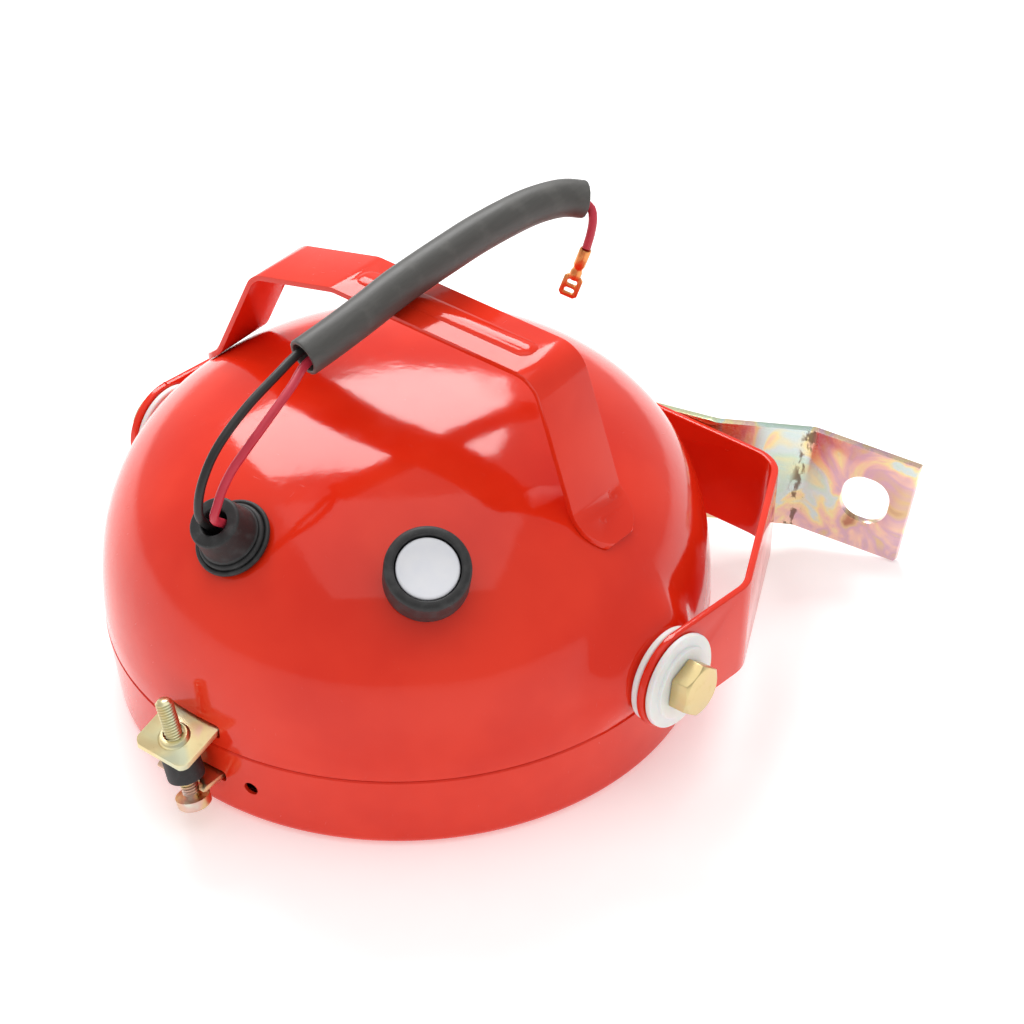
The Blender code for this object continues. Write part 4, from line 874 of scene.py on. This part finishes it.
def make_terminal():
    """Flat tab with two holes and cut corners, and a crimped barrel with folded wings."""
    down = TERMINAL_DIRECTION.normalized()
    spot = Vector(RED_ROUTE[-1]) + down * GAP
    aim = down.to_track_quat("-Z", "Y").to_matrix().to_4x4() @ Matrix.Rotation(TERMINAL_TURN, 4, "Z")
    seat = Matrix.Translation(spot) @ aim
    tab_top = -TERMINAL_BARREL_LENGTH + TERMINAL_BARREL / 2
    half = TERMINAL_WIDTH / 2
    cut = half / 3
    neck = TERMINAL_BARREL * 0.8
    low = tab_top - TERMINAL_LENGTH
    outline = [(-half + cut, low), (half - cut, low), (half, low + cut), (half, tab_top - cut),
               (half - cut, tab_top), (neck, tab_top), (neck, -GAP), (-neck, -GAP), (-neck, tab_top),
               (-half + cut, tab_top), (-half, tab_top - cut), (-half, low + cut)]
    blade = prism("crimp_terminal", outline, -TERMINAL_THICK / 2, TERMINAL_THICK / 2, FRONT_VIEW)
    hole = rounded_rectangle(TAB_HOLE_WIDTH, TAB_HOLE_HEIGHT, TAB_HOLE_ROUND)
    for step in (-1, 1):
        middle = Matrix.Translation((0, 0, tab_top - TERMINAL_LENGTH / 2 + step * TAB_HOLE_SPACING / 2))
        cut_hole(blade, hole, -CUT_TAB, CUT_TAB, middle @ FRONT_VIEW)
    soften(blade, 0.0001, 2)
    shift = Matrix.Translation((0, 0, -TERMINAL_BARREL_LENGTH))
    outline = [(0, 0), (TERMINAL_BARREL * 0.9, 0), (TERMINAL_BARREL, GAP), (TERMINAL_BARREL, 0.0022),
               (TERMINAL_BARREL * 0.82, 0.0029), (TERMINAL_BARREL * 0.82, 0.0036),
               (TERMINAL_BARREL, 0.0043), (TERMINAL_BARREL, TERMINAL_BARREL_LENGTH - GAP),
               (TERMINAL_BARREL * 0.9, TERMINAL_BARREL_LENGTH), (0, TERMINAL_BARREL_LENGTH)]
    barrel = turned("barrel", outline, shift, 24)
    seam = prism("seam", rounded_rectangle(0.0005, 0.004, 0.0002), 0.0012, 0.003, None)
    seam.data.transform(Matrix.Translation((0, 0, -0.0036)) @ FRONT_VIEW)
    combine(barrel, seam, "DIFFERENCE")
    only(blade)
    barrel.select_set(True)
    bpy.ops.object.join()
    blade.data.transform(seat)
    return smooth(blade, 40)


# ---- bowl, rim and handle

def on_seam(spot):
    """True on the bowl's lower outer edge, which meets the rim."""
    return abs(spot.z - SEAM_Z) < TINY * 20 and math.hypot(spot.x, spot.y) > BOWL_RADIUS - BOWL_EDGE


def make_bowl(paint):
    """Deep drawn bowl with a pressed boss each side and a joggled skirt behind the rim."""
    top = SEAM_Z + BOWL_RISE
    angles = [math.pi / 2 * (i / DOME_STEPS) ** DOME_SPREAD for i in range(1, DOME_STEPS)]
    power = 2 / BOWL_POWER
    dome = [(BOWL_RADIUS * math.sin(a) ** power, SEAM_Z + BOWL_RISE * math.cos(a) ** power) for a in angles]
    skirt = BOWL_RADIUS - SKIRT_INSET
    outline = [(0, top)] + [point for point in dome if point[1] > SEAM_Z + 2 * BOWL_EDGE]
    outline += [(BOWL_RADIUS, SEAM_Z), (skirt, SEAM_Z), (skirt, SEAM_Z - SKIRT_DEPTH)]
    bowl = turned("painted_bowl", outline, steps=BOWL_ROUND)
    for side in (-1, 1):
        pick(bowl, "VERT", lambda spot: spot.z < SEAM_Z + TINY)
        bpy.ops.mesh.hide()
        bpy.ops.object.mode_set(mode="OBJECT")
        for vertex in bowl.data.vertices:
            reach = math.hypot(vertex.co.y, vertex.co.z - PIVOT_Z)
            vertex.select = side * vertex.co.x > 0 and reach < BOSS_FACE_RADIUS and not vertex.hide
        bpy.ops.object.mode_set(mode="EDIT")
        bpy.ops.transform.resize(value=(0, 1, 1), center_override=(side * BOSS_FACE_X, 0, PIVOT_Z),
                                 use_proportional_edit=True, proportional_edit_falloff="SMOOTH",
                                 proportional_size=BOSS_SPREAD)
        bpy.ops.mesh.reveal()
    only(bowl)
    wall = bowl.modifiers.new("wall", "SOLIDIFY")
    wall.thickness = BOWL_WALL
    wall.offset = -1
    wall.use_even_offset = True
    bpy.ops.object.modifier_apply(modifier=wall.name)
    pick(bowl, "EDGE", lambda *ends: all(on_seam(end) for end in ends))
    bpy.ops.mesh.bevel(offset=BOWL_EDGE, segments=3, affect="EDGES")
    only(bowl)
    across = Matrix.Translation((0, 0, PIVOT_Z)) @ Matrix.Rotation(math.pi / 2, 4, "Y")
    lug_seat = Matrix.Translation((CLAMP_X, -BOWL_RADIUS, CLAMP_Z + LUG_SLOT_UP)) @ FRONT_VIEW
    lug_slot = rounded_rectangle(LUG_WIDTH + 2 * CLEARANCE, LUG_SLOT_HEIGHT, LUG_SLOT_CORNER)
    holes = [
        (circle(BOLT_RADIUS), CUT_LAMP, across),
        (circle(SWITCH_HOLE), CUT_DOME, SWITCH_SEAT),
        (circle(GROMMET_WAIST), CUT_DOME, GROMMET_SEAT),
        (lug_slot, CUT_SHEET, lug_seat),
    ]
    for outline, reach, seat in holes:
        cut_hole(bowl, outline, -reach, reach, seat)
    return dress(smooth(bowl, 40), paint, "red_paint", "root", "bowl")


def make_rim(paint):
    """Front rim with a rolled lip, a drain hole and the slot its lug comes out of."""
    top = SEAM_Z - GAP
    corner = (RIM_FRONT_RADIUS - RIM_CORNER, RIM_CORNER)
    outer = arc(corner, RIM_CORNER, 0, -90)
    inner = arc(corner, RIM_CORNER - BOWL_WALL, -90, 0)
    lip = arc((LIP_OPENING + BOWL_WALL / 2, BOWL_WALL / 2), BOWL_WALL / 2, -90, -270, 6)
    edge = [(BOWL_RADIUS - BOWL_EDGE, top), (BOWL_RADIUS, top - BOWL_EDGE)]
    wall = [(BOWL_RADIUS - BOWL_WALL, top - BOWL_EDGE), (BOWL_RADIUS - BOWL_WALL + BOWL_EDGE, top)]
    rim = turned("painted_rim", edge + outer + lip + inner + wall, steps=BOWL_ROUND, ring=True)
    drain_y = -math.sqrt(BOWL_RADIUS ** 2 - DRAIN_X ** 2)
    turn = Matrix.Rotation(math.atan2(DRAIN_X, -drain_y), 4, "Z")
    seat = Matrix.Translation((DRAIN_X, drain_y, DRAIN_Z)) @ turn @ FRONT_VIEW
    cut_hole(rim, circle(DRAIN_RADIUS), -CUT_SHEET, CUT_SHEET, seat)
    slot = rounded_rectangle(LUG_WIDTH + 2 * CLEARANCE, RIM_SLOT_HEIGHT, RIM_SLOT_CORNER)
    seat = Matrix.Translation((CLAMP_X, -BOWL_RADIUS, RIM_LUG_Z)) @ FRONT_VIEW
    cut_hole(rim, slot, -CUT_SHEET, CUT_SHEET, seat)
    return dress(smooth(rim, 40), paint, "red_paint", "root", "rim")


def make_handle(paint):
    """Bent strap with an embossed rib, round welded feet and two weld marks on each."""
    foot_radius = math.hypot(FOOT_X, HANDLE_Y)
    slope = math.atan(math.tan(bowl_slope(foot_radius)) * FOOT_X / foot_radius)
    along = Vector((math.cos(slope), -math.sin(slope)))
    lift = Vector((math.sin(slope), math.cos(slope)))
    foot = Vector((FOOT_X, bowl_height(foot_radius))) + lift * (HANDLE_THICK / 2 + GAP)
    toe = foot + along * FOOT_TOE
    heel = foot - along * FOOT_HEEL
    top_z = HANDLE_TOP_Z - HANDLE_THICK / 2
    top = [(HANDLE_TOP_X, top_z), (HANDLE_EASE_X, top_z), (HANDLE_LEFT_X, top_z - HANDLE_LEFT_DROP)]
    corners = [toe, heel] + top + [(-heel.x, heel.y), (-toe.x, toe.y)]
    outline = strip_outline(corners, HANDLE_BEND, HANDLE_THICK)
    side = Matrix.Translation((0, HANDLE_Y, 0))
    handle = prism("strap_handle", outline, -HANDLE_WIDTH / 2, HANDLE_WIDTH / 2, side @ FRONT_VIEW)
    plan = rounded_rectangle(2 * toe.x + HANDLE_THICK, HANDLE_WIDTH + 0.0006, HANDLE_WIDTH / 2 - 0.0004, 16)
    combine(handle, prism("ends", plan, SEAM_Z, HANDLE_TOP_Z + CUT_TAB, side), "INTERSECT")
    rib = rounded_rectangle(RIB_LENGTH, RIB_WIDTH, RIB_WIDTH / 2 - GAP)
    seat = Matrix.Translation((RIB_X, HANDLE_Y, HANDLE_TOP_Z))
    bead = prism("rib", rib, -GAP, RIB_SIDE, seat)
    pick(bead, "FACE", lambda middle, normal: normal.z > 0.9)
    bpy.ops.mesh.inset(thickness=RIB_SLOPE, depth=RIB_CROWN)
    only(bead)
    combine(handle, bead, "UNION")
    soften(handle, 0.0004, 3, 28)
    for end in (-1, 1):
        for reach, across in WELD_SPOTS:
            spot = foot + lift * (HANDLE_THICK / 2 + WELD_BALL - WELD_DEPTH) + along * reach
            place = (end * spot.x, HANDLE_Y + across, spot.y)
            only(None)
            bpy.ops.mesh.primitive_uv_sphere_add(segments=48, ring_count=24, radius=WELD_BALL, location=place)
            bpy.ops.object.transform_apply(location=True, rotation=True, scale=True)
            combine(handle, bpy.context.object, "DIFFERENCE")
    return dress(smooth(handle, 40), paint, "red_paint", "root", "handle")


# ---- switch, grommet and clamp

def make_switch(rubber):
    """Rubber bezel with soft edges and a recessed white push cap."""
    soft = BEZEL_SOFT
    cup = CAP_RADIUS + CLEARANCE
    shelf = BEZEL_FLOOR - BEZEL_SHELF
    outline = [(BEZEL_NECK, GAP), (BEZEL_RADIUS - soft / 2, GAP), (BEZEL_RADIUS, soft)]
    outline += [(BEZEL_RADIUS, BEZEL_HEIGHT * 0.5)]
    outline += arc((BEZEL_RADIUS - soft, BEZEL_HEIGHT - soft), soft, 0, 90, 8)
    outline += arc((cup + GAP * 2, BEZEL_HEIGHT - GAP * 2), GAP * 2, 90, 180, 4)
    outline += [(cup, BEZEL_FLOOR), (BEZEL_BORE, BEZEL_FLOOR), (BEZEL_BORE, shelf), (BEZEL_NECK, shelf)]
    bezel = turned("rubber_bezel", outline, SWITCH_SEAT, 96, ring=True)
    dress(smooth(bezel, 40), rubber, "black_rubber", "root", "switch_bezel")
    disc = CAP_FACE - CAP_DISC
    label = CAP_FACE - CAP_LABEL_SUNK
    edge = CAP_RADIUS - CAP_LABEL_EDGE
    outline = [(0, STEM_END), (STEM_RADIUS, STEM_END), (STEM_RADIUS, disc), (CAP_RADIUS, disc)]
    outline += arc((CAP_RADIUS - CAP_ROUND, CAP_FACE - CAP_ROUND), CAP_ROUND, 0, 90, 4)
    outline += [(edge, CAP_FACE), (edge - CAP_LABEL_STEP, label), (0, label)]
    cap = turned("push_cap", outline, SWITCH_SEAT, 96)
    dress(smooth(cap, 40), blank_label(), "white_cap", "switch_button", "switch_cap")


def make_grommet(rubber):
    """Rubber grommet: flange with a bead, tapering neck and a bore for the two wires."""
    floor = GROMMET_HEIGHT - BORE_DEPTH
    top = GROMMET_HEIGHT
    outline = [(0, -GROMMET_TAIL), (GROMMET_WAIST, -GROMMET_TAIL), (GROMMET_WAIST, GAP)]
    outline += [(GROMMET_FLANGE - CLEARANCE, GAP)]
    outline += arc((GROMMET_FLANGE - EDGE_BEAD, GAP + EDGE_BEAD), EDGE_BEAD, -60, 110, 8)
    outline += [(GROMMET_FLANGE - VALLEY, VALLEY)]
    outline += arc((GROMMET_FLANGE - STEP_BEAD_IN, STEP_BEAD_Z), STEP_BEAD, -15, 105, 8)
    outline += arc((GROMMET_NECK_ROOT + ROOT_FILLET_OUT, ROOT_FILLET_Z), ROOT_FILLET, -125, -172, 5)
    outline += [(GROMMET_NECK_TOP + NECK_SWELL, NECK_SWELL_Z)]
    outline += arc((GROMMET_NECK_TOP - STEP_BEAD, top - STEP_BEAD), STEP_BEAD, 5, 90, 6)
    outline += arc((GROMMET_BORE + MOUTH_ROUND, top - MOUTH_ROUND), MOUTH_ROUND, 90, 180, 5)
    outline += [(GROMMET_BORE, floor), (0, floor)]
    grommet = turned("lead_grommet", outline, GROMMET_SEAT, 96)
    return dress(smooth(grommet, 40), rubber, "black_rubber", "root", "grommet")


def thread(name, radius, pitch, low, high, core, seat):
    """A solid screw: a turned core, with a helical thread wound round its shank."""
    body = turned(name, core, None, 48)
    turns = int((high - low) / pitch) - 1
    root = radius - pitch * THREAD_DEPTH
    crest = [(radius, 0, low + pitch * share) for share in THREAD_CREST]
    draw([(root, 0, low), *crest, (root, 0, low + pitch)])
    bpy.ops.object.mode_set(mode="OBJECT")
    helix = bpy.context.object
    wind = helix.modifiers.new("wind", "SCREW")
    wind.angle = 2 * math.pi
    wind.screw_offset = pitch
    wind.iterations = turns
    wind.steps = THREAD_STEPS
    wind.render_steps = THREAD_STEPS
    wind.use_merge_vertices = True
    wind.merge_threshold = TINY
    bpy.ops.object.modifier_apply(modifier=wind.name)
    bpy.ops.object.mode_set(mode="EDIT")
    settle("helix")
    only(body)
    helix.select_set(True)
    bpy.ops.object.join()
    body.data.transform(seat)
    return smooth(body, 50)


def hex_block(name, flats, low, high, turn=0.0, hole=0.0, both=False):
    """A hexagon with the corners of its upper face, or of both faces, turned off."""
    block = prism(name, hexagon(flats, turn), low, high)
    slope = math.tan(HEX_CHAMFER)
    face = flats / 2 * HEX_FACE_SHARE
    spread = flats / math.sqrt(3) - face + HEX_PAST
    wide = face + spread
    inner = face - HEX_PAST / slope
    outline = [(0, high + HEX_PAST), (inner, high + HEX_PAST), (wide, high - spread * slope)]
    if both:
        outline += [(wide, low + spread * slope), (inner, low - HEX_PAST)]
    else:
        outline += [(wide, low - HEX_PAST)]
    outline += [(0, low - HEX_PAST)]
    combine(block, turned("round", outline, None, 96), "INTERSECT")
    if hole:
        cut_hole(block, circle(hole), low - HEX_PAST, high + HEX_PAST)
    return soften(block, 0.00015, 2, 25)


def make_clamp(zinc, rubber):
    """Bowl lug with its pierced collar, rim lug with a turned lip, spacer, and the clamp screw."""
    hook_y = -(BOWL_RADIUS - SKIRT_INSET - 2 * BOWL_WALL - LUG_THICK / 2)
    end_y = CLAMP_Y - LUG_REACH
    rise = math.tan(LUG_SLOPE)
    hook_z = CLAMP_Z + (hook_y - CLAMP_Y) * rise
    shift = Matrix.Translation((CLAMP_X, 0, 0)) @ SIDE_VIEW
    corners = [(hook_y, hook_z + LUG_HOOK), (hook_y, hook_z), (end_y, CLAMP_Z - LUG_REACH * rise)]
    outline = strip_outline(corners, LUG_BEND, LUG_THICK)
    lug = prism("clamp_plate", outline, -LUG_WIDTH / 2, LUG_WIDTH / 2, shift)
    span = 2 * (hook_y - end_y)
    plan = rounded_rectangle(LUG_WIDTH + GAP, span, LUG_CORNER, 12)
    plan_seat = Matrix.Translation((CLAMP_X, hook_y, CLAMP_Z))
    combine(lug, prism("corners", plan, -span, span, plan_seat), "INTERSECT")
    collar_seat = Matrix.Translation((CLAMP_X, CLAMP_Y, CLAMP_Z)) @ Matrix.Rotation(LUG_SLOPE, 4, "X")
    collar_top = LUG_THICK / 2 + LUG_COLLAR
    collar = [(0, 0), (LUG_COLLAR_RADIUS + 2 * GAP, 0), (LUG_COLLAR_RADIUS + GAP, LUG_THICK / 2 + GAP),
              (LUG_COLLAR_RADIUS, collar_top - GAP), (LUG_COLLAR_RADIUS - GAP, collar_top), (0, collar_top)]
    combine(lug, turned("collar", collar, collar_seat, 48), "UNION")
    cut_hole(lug, circle(SCREW_HOLE), -LUG_REACH, LUG_REACH, CLAMP_AXIS)
    soften(lug, 0.0004, 3, 30)
    dress(smooth(lug, 40), zinc, "yellow_zinc", "root", "bowl_lug")

    inner_y = -(RIM_FRONT_RADIUS - BOWL_WALL - GAP - LUG_THICK)
    fork_y = CLAMP_Y + RIM_LUG_SHORT
    corners = [(inner_y, RIM_LUG_Z + LUG_HOOK), (inner_y, RIM_LUG_Z), (fork_y, RIM_LUG_Z),
               (fork_y - RIM_LIP / 2, RIM_LUG_Z - RIM_LIP)]
    outline = strip_outline(corners, RIM_LUG_BEND, LUG_THICK)
    half = RIM_LUG_WIDTH / 2
    lug = prism("rim_hook", outline, -half, half, shift)
    depth = CLAMP_Z - RIM_LUG_Z
    cut_hole(lug, circle(SCREW_HOLE), -depth - LUG_REACH, -depth + LUG_REACH, CLAMP_AXIS)
    soften(lug, 0.00025, 2, 30)
    dress(smooth(lug, 40), zinc, "yellow_zinc", "root", "rim_lug")

    level = LUG_THICK / 2 + GAP
    lean_rise = math.sin(abs(CLAMP_LEAN))
    lean_share = math.cos(CLAMP_LEAN)
    high = -(level + SPACER_RADIUS * math.sin(LUG_TIP)) / math.cos(LUG_TIP)
    low = (-depth + level + SPACER_RADIUS * lean_rise) / lean_share
    outer = SPACER_RADIUS - SPACER_ROUND
    outline = [(SCREW_HOLE, low)] + arc((outer, low + SPACER_ROUND), SPACER_ROUND, -90, 0, 4)
    outline += arc((outer, high - SPACER_ROUND), SPACER_ROUND, 0, 90, 4) + [(SCREW_HOLE, high)]
    spacer = turned("clamp_bush", outline, CLAMP_AXIS, 48, ring=True)
    dress(smooth(spacer, 40), rubber, "black_rubber", "root", "clamp_spacer")

    head_top = -(depth + level + RIM_LIP + SCREW_HEAD_RADIUS * lean_rise) / lean_share
    head_low = head_top - SCREW_HEAD
    root = SCREW_RADIUS - SCREW_PITCH * CORE_DEPTH
    soft = SCREW_HEAD_ROUND
    core = [(0, head_low)] + arc((SCREW_HEAD_RADIUS - soft, head_low + soft), soft, -90, 0, 5)
    core += [(SCREW_HEAD_RADIUS, head_top), (root, head_top), (root, SCREW_TOP - SCREW_POINT),
             (root - SCREW_POINT, SCREW_TOP), (0, SCREW_TOP)]
    screw = thread("clamp_stud", SCREW_RADIUS, SCREW_PITCH, head_top, SCREW_TOP, core, CLAMP_AXIS)
    dress(screw, zinc, "yellow_zinc", "clamp_screw_body", "clamp_screw")


# ---- pivots and brackets

def make_pivots(nylon, zinc):
    """Nylon washer inside each arm and outside the right one, and a hexagon bolt through each side."""
    inner_low, inner_high = [corner.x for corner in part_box("pivot_washer_inner_right")]
    outer_low, outer_high = [corner.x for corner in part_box("pivot_washer_outer_right")]
    shank_low, head_high = [corner.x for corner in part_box("pivot_bolt_right")]
    thick = inner_high - inner_low
    bore = BOLT_RADIUS + CLEARANCE
    soft = thick / 3.2
    washer = [(bore, inner_low)] + arc((WASHER_RADIUS - soft, inner_low + soft), soft, -90, 0, 6)
    washer += arc((WASHER_RADIUS - soft, inner_high - soft), soft, 0, 90, 6) + [(bore, inner_high)]
    hub = [(bore, outer_low)] + arc((WASHER_RADIUS - soft, outer_low + soft), soft, -90, 0, 6)
    hub += arc((WASHER_RADIUS - soft, outer_low + thick - soft), soft, 0, 90, 6)
    hub += arc((HUB_RADIUS + GAP, outer_low + thick + GAP), GAP, -90, -180, 3)
    hub += arc((HUB_RADIUS - GAP, outer_high - GAP), GAP, 0, 90, 4) + [(bore, outer_high)]
    head_low = outer_high + GAP
    left_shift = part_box("pivot_bolt_left")[0].x + head_high
    for side, tag, shift in ((-1, "left", left_shift), (1, "right", 0)):
        seat = Matrix.Translation((0, 0, PIVOT_Z)) @ Matrix.Rotation(side * math.pi / 2, 4, "Y")
        for kind, outline in (("inner", washer), ("outer", hub)):
            if kind == "inner" or side == 1:
                piece = turned(f"nylon_{kind}_{tag}", outline, seat, 96, ring=True)
                dress(smooth(piece, 40), nylon, "nylon", "root", f"pivot_washer_{kind}_{tag}")
        head = hex_block(f"hex_bolt_{tag}", HEX_FLATS, head_low - shift, head_high - shift, HEAD_TURN)
        seated = head_low - shift + GAP
        outline = [(0, shank_low), (BOLT_RADIUS, shank_low), (BOLT_RADIUS, seated), (0, seated)]
        shank = turned("shank", outline, None, 48)
        only(head)
        shank.select_set(True)
        bpy.ops.object.join()
        head.data.transform(seat)
        dress(smooth(head, 30), zinc, "yellow_zinc", "root", f"pivot_bolt_{tag}")


def make_u_bracket(paint):
    """Painted strip on edge, bent round the back of the bowl, with round drilled arm ends."""
    arm_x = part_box("u_bracket")[1].x - ARM_THICK / 2
    bar_y = BAR_DISTANCE - ARM_THICK / 2
    half = [(arm_x, -STRIP_HEIGHT / 2 - CUT_TAB), (arm_x, CHAMFER_START), (BAR_HALF, bar_y)]
    outline = strip_outline(half + [(-x, y) for x, y in half[::-1]], BRACKET_BEND, ARM_THICK)
    low, high = -STRIP_HEIGHT / 2, STRIP_HEIGHT / 2
    bracket = prism("tilt_bracket", outline, low, high, TILT_SEAT)
    far = BAR_DISTANCE + CUT_TAB
    side = [(far, low - CUT_TAB), (far, high + CUT_TAB), (0, high + CUT_TAB)]
    side += arc((0, 0), STRIP_HEIGHT / 2, 90, 270, 24) + [(0, low - CUT_TAB)]
    combine(bracket, prism("ends", side, -CUT_LAMP, CUT_LAMP, TILT_SEAT @ SIDE_VIEW), "INTERSECT")
    across = TILT_SEAT @ Matrix.Rotation(math.pi / 2, 4, "Y")
    bore = circle(BOLT_RADIUS + CLEARANCE)
    cut_hole(bracket, bore, -CUT_LAMP, CUT_LAMP, across)
    cut_hole(bracket, bore, -CUT_SHEET, CUT_TAB, MOUNT_AXIS)
    soften(bracket, 0.0004, 3, 30)
    return dress(smooth(bracket, 40), paint, "red_paint", "bracket", "u_bracket")


def make_mount(zinc, brass):
    """Joggled, slotted bracket on its swivel bolt, with the washer and nut behind."""
    level = MOUNT_THICK / 2
    rise = (MOUNT_FLAT + MOUNT_RISE * math.cos(MOUNT_RISE_ANGLE),
            level + MOUNT_RISE * math.sin(MOUNT_RISE_ANGLE))
    end = (rise[0] + MOUNT_END * math.cos(MOUNT_END_ANGLE),
           rise[1] + MOUNT_END * math.sin(MOUNT_END_ANGLE))
    corners = [(-MOUNT_TAIL, level), (MOUNT_FLAT, level), rise, end]
    half = MOUNT_WIDTH / 2
    outline = strip_outline(corners, MOUNT_BEND, MOUNT_THICK)
    bracket = prism("joggled_bracket", outline, -half, half, SWIVEL_SEAT)
    edge = half + GAP
    plan = [(-MOUNT_TAIL, -MOUNT_TAIL_HALF), (MOUNT_FLAT, -edge)]
    plan += arc((end[0] - MOUNT_CORNER, MOUNT_CORNER - edge), MOUNT_CORNER, -90, 0)
    plan += arc((end[0] - MOUNT_CORNER, edge - MOUNT_CORNER), MOUNT_CORNER, 0, 90)
    plan += [(MOUNT_FLAT, edge), (-MOUNT_TAIL, MOUNT_TAIL_HALF)]
    combine(bracket, prism("ends", plan, -BAR_HALF, BAR_HALF, SWIVEL_SEAT @ FRONT_VIEW), "INTERSECT")
    bore = BOLT_RADIUS + CLEARANCE
    cut_hole(bracket, circle(bore), -CUT_PLATE, CUT_PLATE, SWIVEL_SEAT @ FRONT_VIEW)
    turn = Matrix.Rotation(MOUNT_END_ANGLE, 4, "Z")
    spot = Vector((*rise, 0)) + turn @ Vector((SLOT_FROM_BEND, 0, 0))
    seat = SWIVEL_SEAT @ Matrix.Translation(spot) @ turn @ FRONT_VIEW
    slot = rounded_rectangle(SLOT_LENGTH, SLOT_WIDTH, SLOT_CORNER, 12)
    cut_hole(bracket, slot, -CUT_PLATE, CUT_PLATE, seat)
    soften(bracket, 0.0003, 3, 30)
    smooth(bracket, 40)
    along = (SWIVEL_SEAT.to_3x3() @ Vector((1, 0, 0))).normalized()
    rainbow = rainbow_zinc("rainbow_zinc", SWIVEL_SEAT.translation, along, end[0])
    dress(bracket, rainbow, "yellow_zinc", "mount_arm", "mount_bracket")

    head_top = -(ARM_THICK + GAP)
    washer_low = MOUNT_THICK + 2 * GAP
    washer_high = washer_low + MOUNT_WASHER_THICK
    nut_low = washer_high + GAP
    nut_high = nut_low + NUT_HEIGHT
    tip = nut_high + MOUNT_BOLT_PROUD
    soft = MOUNT_HEAD_HEIGHT / 3
    root = BOLT_RADIUS - THREAD_PITCH * CORE_DEPTH
    core = [(0, head_top - MOUNT_HEAD_HEIGHT), (MOUNT_HEAD_RADIUS - 2.4 * soft, head_top - MOUNT_HEAD_HEIGHT),
            (MOUNT_HEAD_RADIUS - 1.2 * soft, head_top - MOUNT_HEAD_HEIGHT * 0.8),
            (MOUNT_HEAD_RADIUS - 0.3 * soft, head_top - soft * 1.2),
            (MOUNT_HEAD_RADIUS, head_top - soft * 0.6), (MOUNT_HEAD_RADIUS, head_top), (root, head_top),
            (root, tip - MOUNT_BOLT_POINT), (root - MOUNT_BOLT_POINT, tip), (0, tip)]
    bolt = thread("swivel_bolt", BOLT_RADIUS, THREAD_PITCH, head_top, tip, core, MOUNT_AXIS)
    dress(bolt, brass, "yellow_zinc", "bracket", "mount_bolt")
    wide = MOUNT_WASHER_RADIUS
    outline = [(bore, washer_low), (wide - GAP, washer_low), (wide, washer_low + GAP),
               (wide, washer_high - GAP), (wide - GAP, washer_high), (bore, washer_high)]
    washer = turned("plain_washer", outline, MOUNT_AXIS, 64, ring=True)
    dress(smooth(washer, 40), brass, "yellow_zinc", "bracket", "mount_washer")
    nut = hex_block("swivel_nut", HEX_FLATS, nut_low, nut_high, 0, bore, both=True)
    nut.data.transform(MOUNT_AXIS)
    dress(smooth(nut, 30), brass, "yellow_zinc", "bracket", "mount_nut")


# ---- plain nodes inside

def finish_inside(brass, rubber):
    """Finishes for the nodes that keep their plain shape."""
    steel = bright_metal("spring_steel", (0.45, 0.46, 0.48), (0.60, 0.61, 0.63), 0.28)
    mirror = bright_metal("silvered", (0.80, 0.81, 0.83), (0.90, 0.91, 0.92), 0.05, 0.004)
    moulding = dusty_rubber("black_moulding", 0.018, 0.02)
    glass = clear_glass("pressed_glass")
    black = bpy.data.materials["black_cover"]
    red = bpy.data.materials["red_cover"]
    given = {
        "lens": glass, "bulb_glass": glass, "lens_gasket": rubber, "reflector": mirror, "bulb_holder": brass,
        "bulb_cap": steel, "bulb_retainer": steel, "switch_body": moulding, "rim_tongue": brass,
        "pivot_nut_left": brass, "pivot_nut_right": brass, "feed_lead": red, "switch_lead": red,
        "earth_lead": black, "lens_clip_1": steel, "lens_clip_2": steel, "lens_clip_3": steel,
        "lens_clip_4": steel,
    }
    for node, finish in given.items():
        for material_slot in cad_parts[node].material_slots:
            material_slot.material = finish


def main():
    set_camera()
    make_leads()
    paint = red_paint("vermilion_enamel")
    zinc = plated_zinc("clouded_zinc", 0.25)
    brass = plated_zinc("golden_zinc", 0.85)
    rubber = dusty_rubber("soft_rubber", 0.014, 0.05)
    make_bowl(paint)
    make_rim(paint)
    make_handle(paint)
    make_switch(rubber)
    make_grommet(rubber)
    make_clamp(zinc, rubber)
    make_pivots(milky_nylon(), brass)
    make_u_bracket(paint)
    make_mount(zinc, brass)
    finish_inside(brass, rubber)
    set_studio()


main()
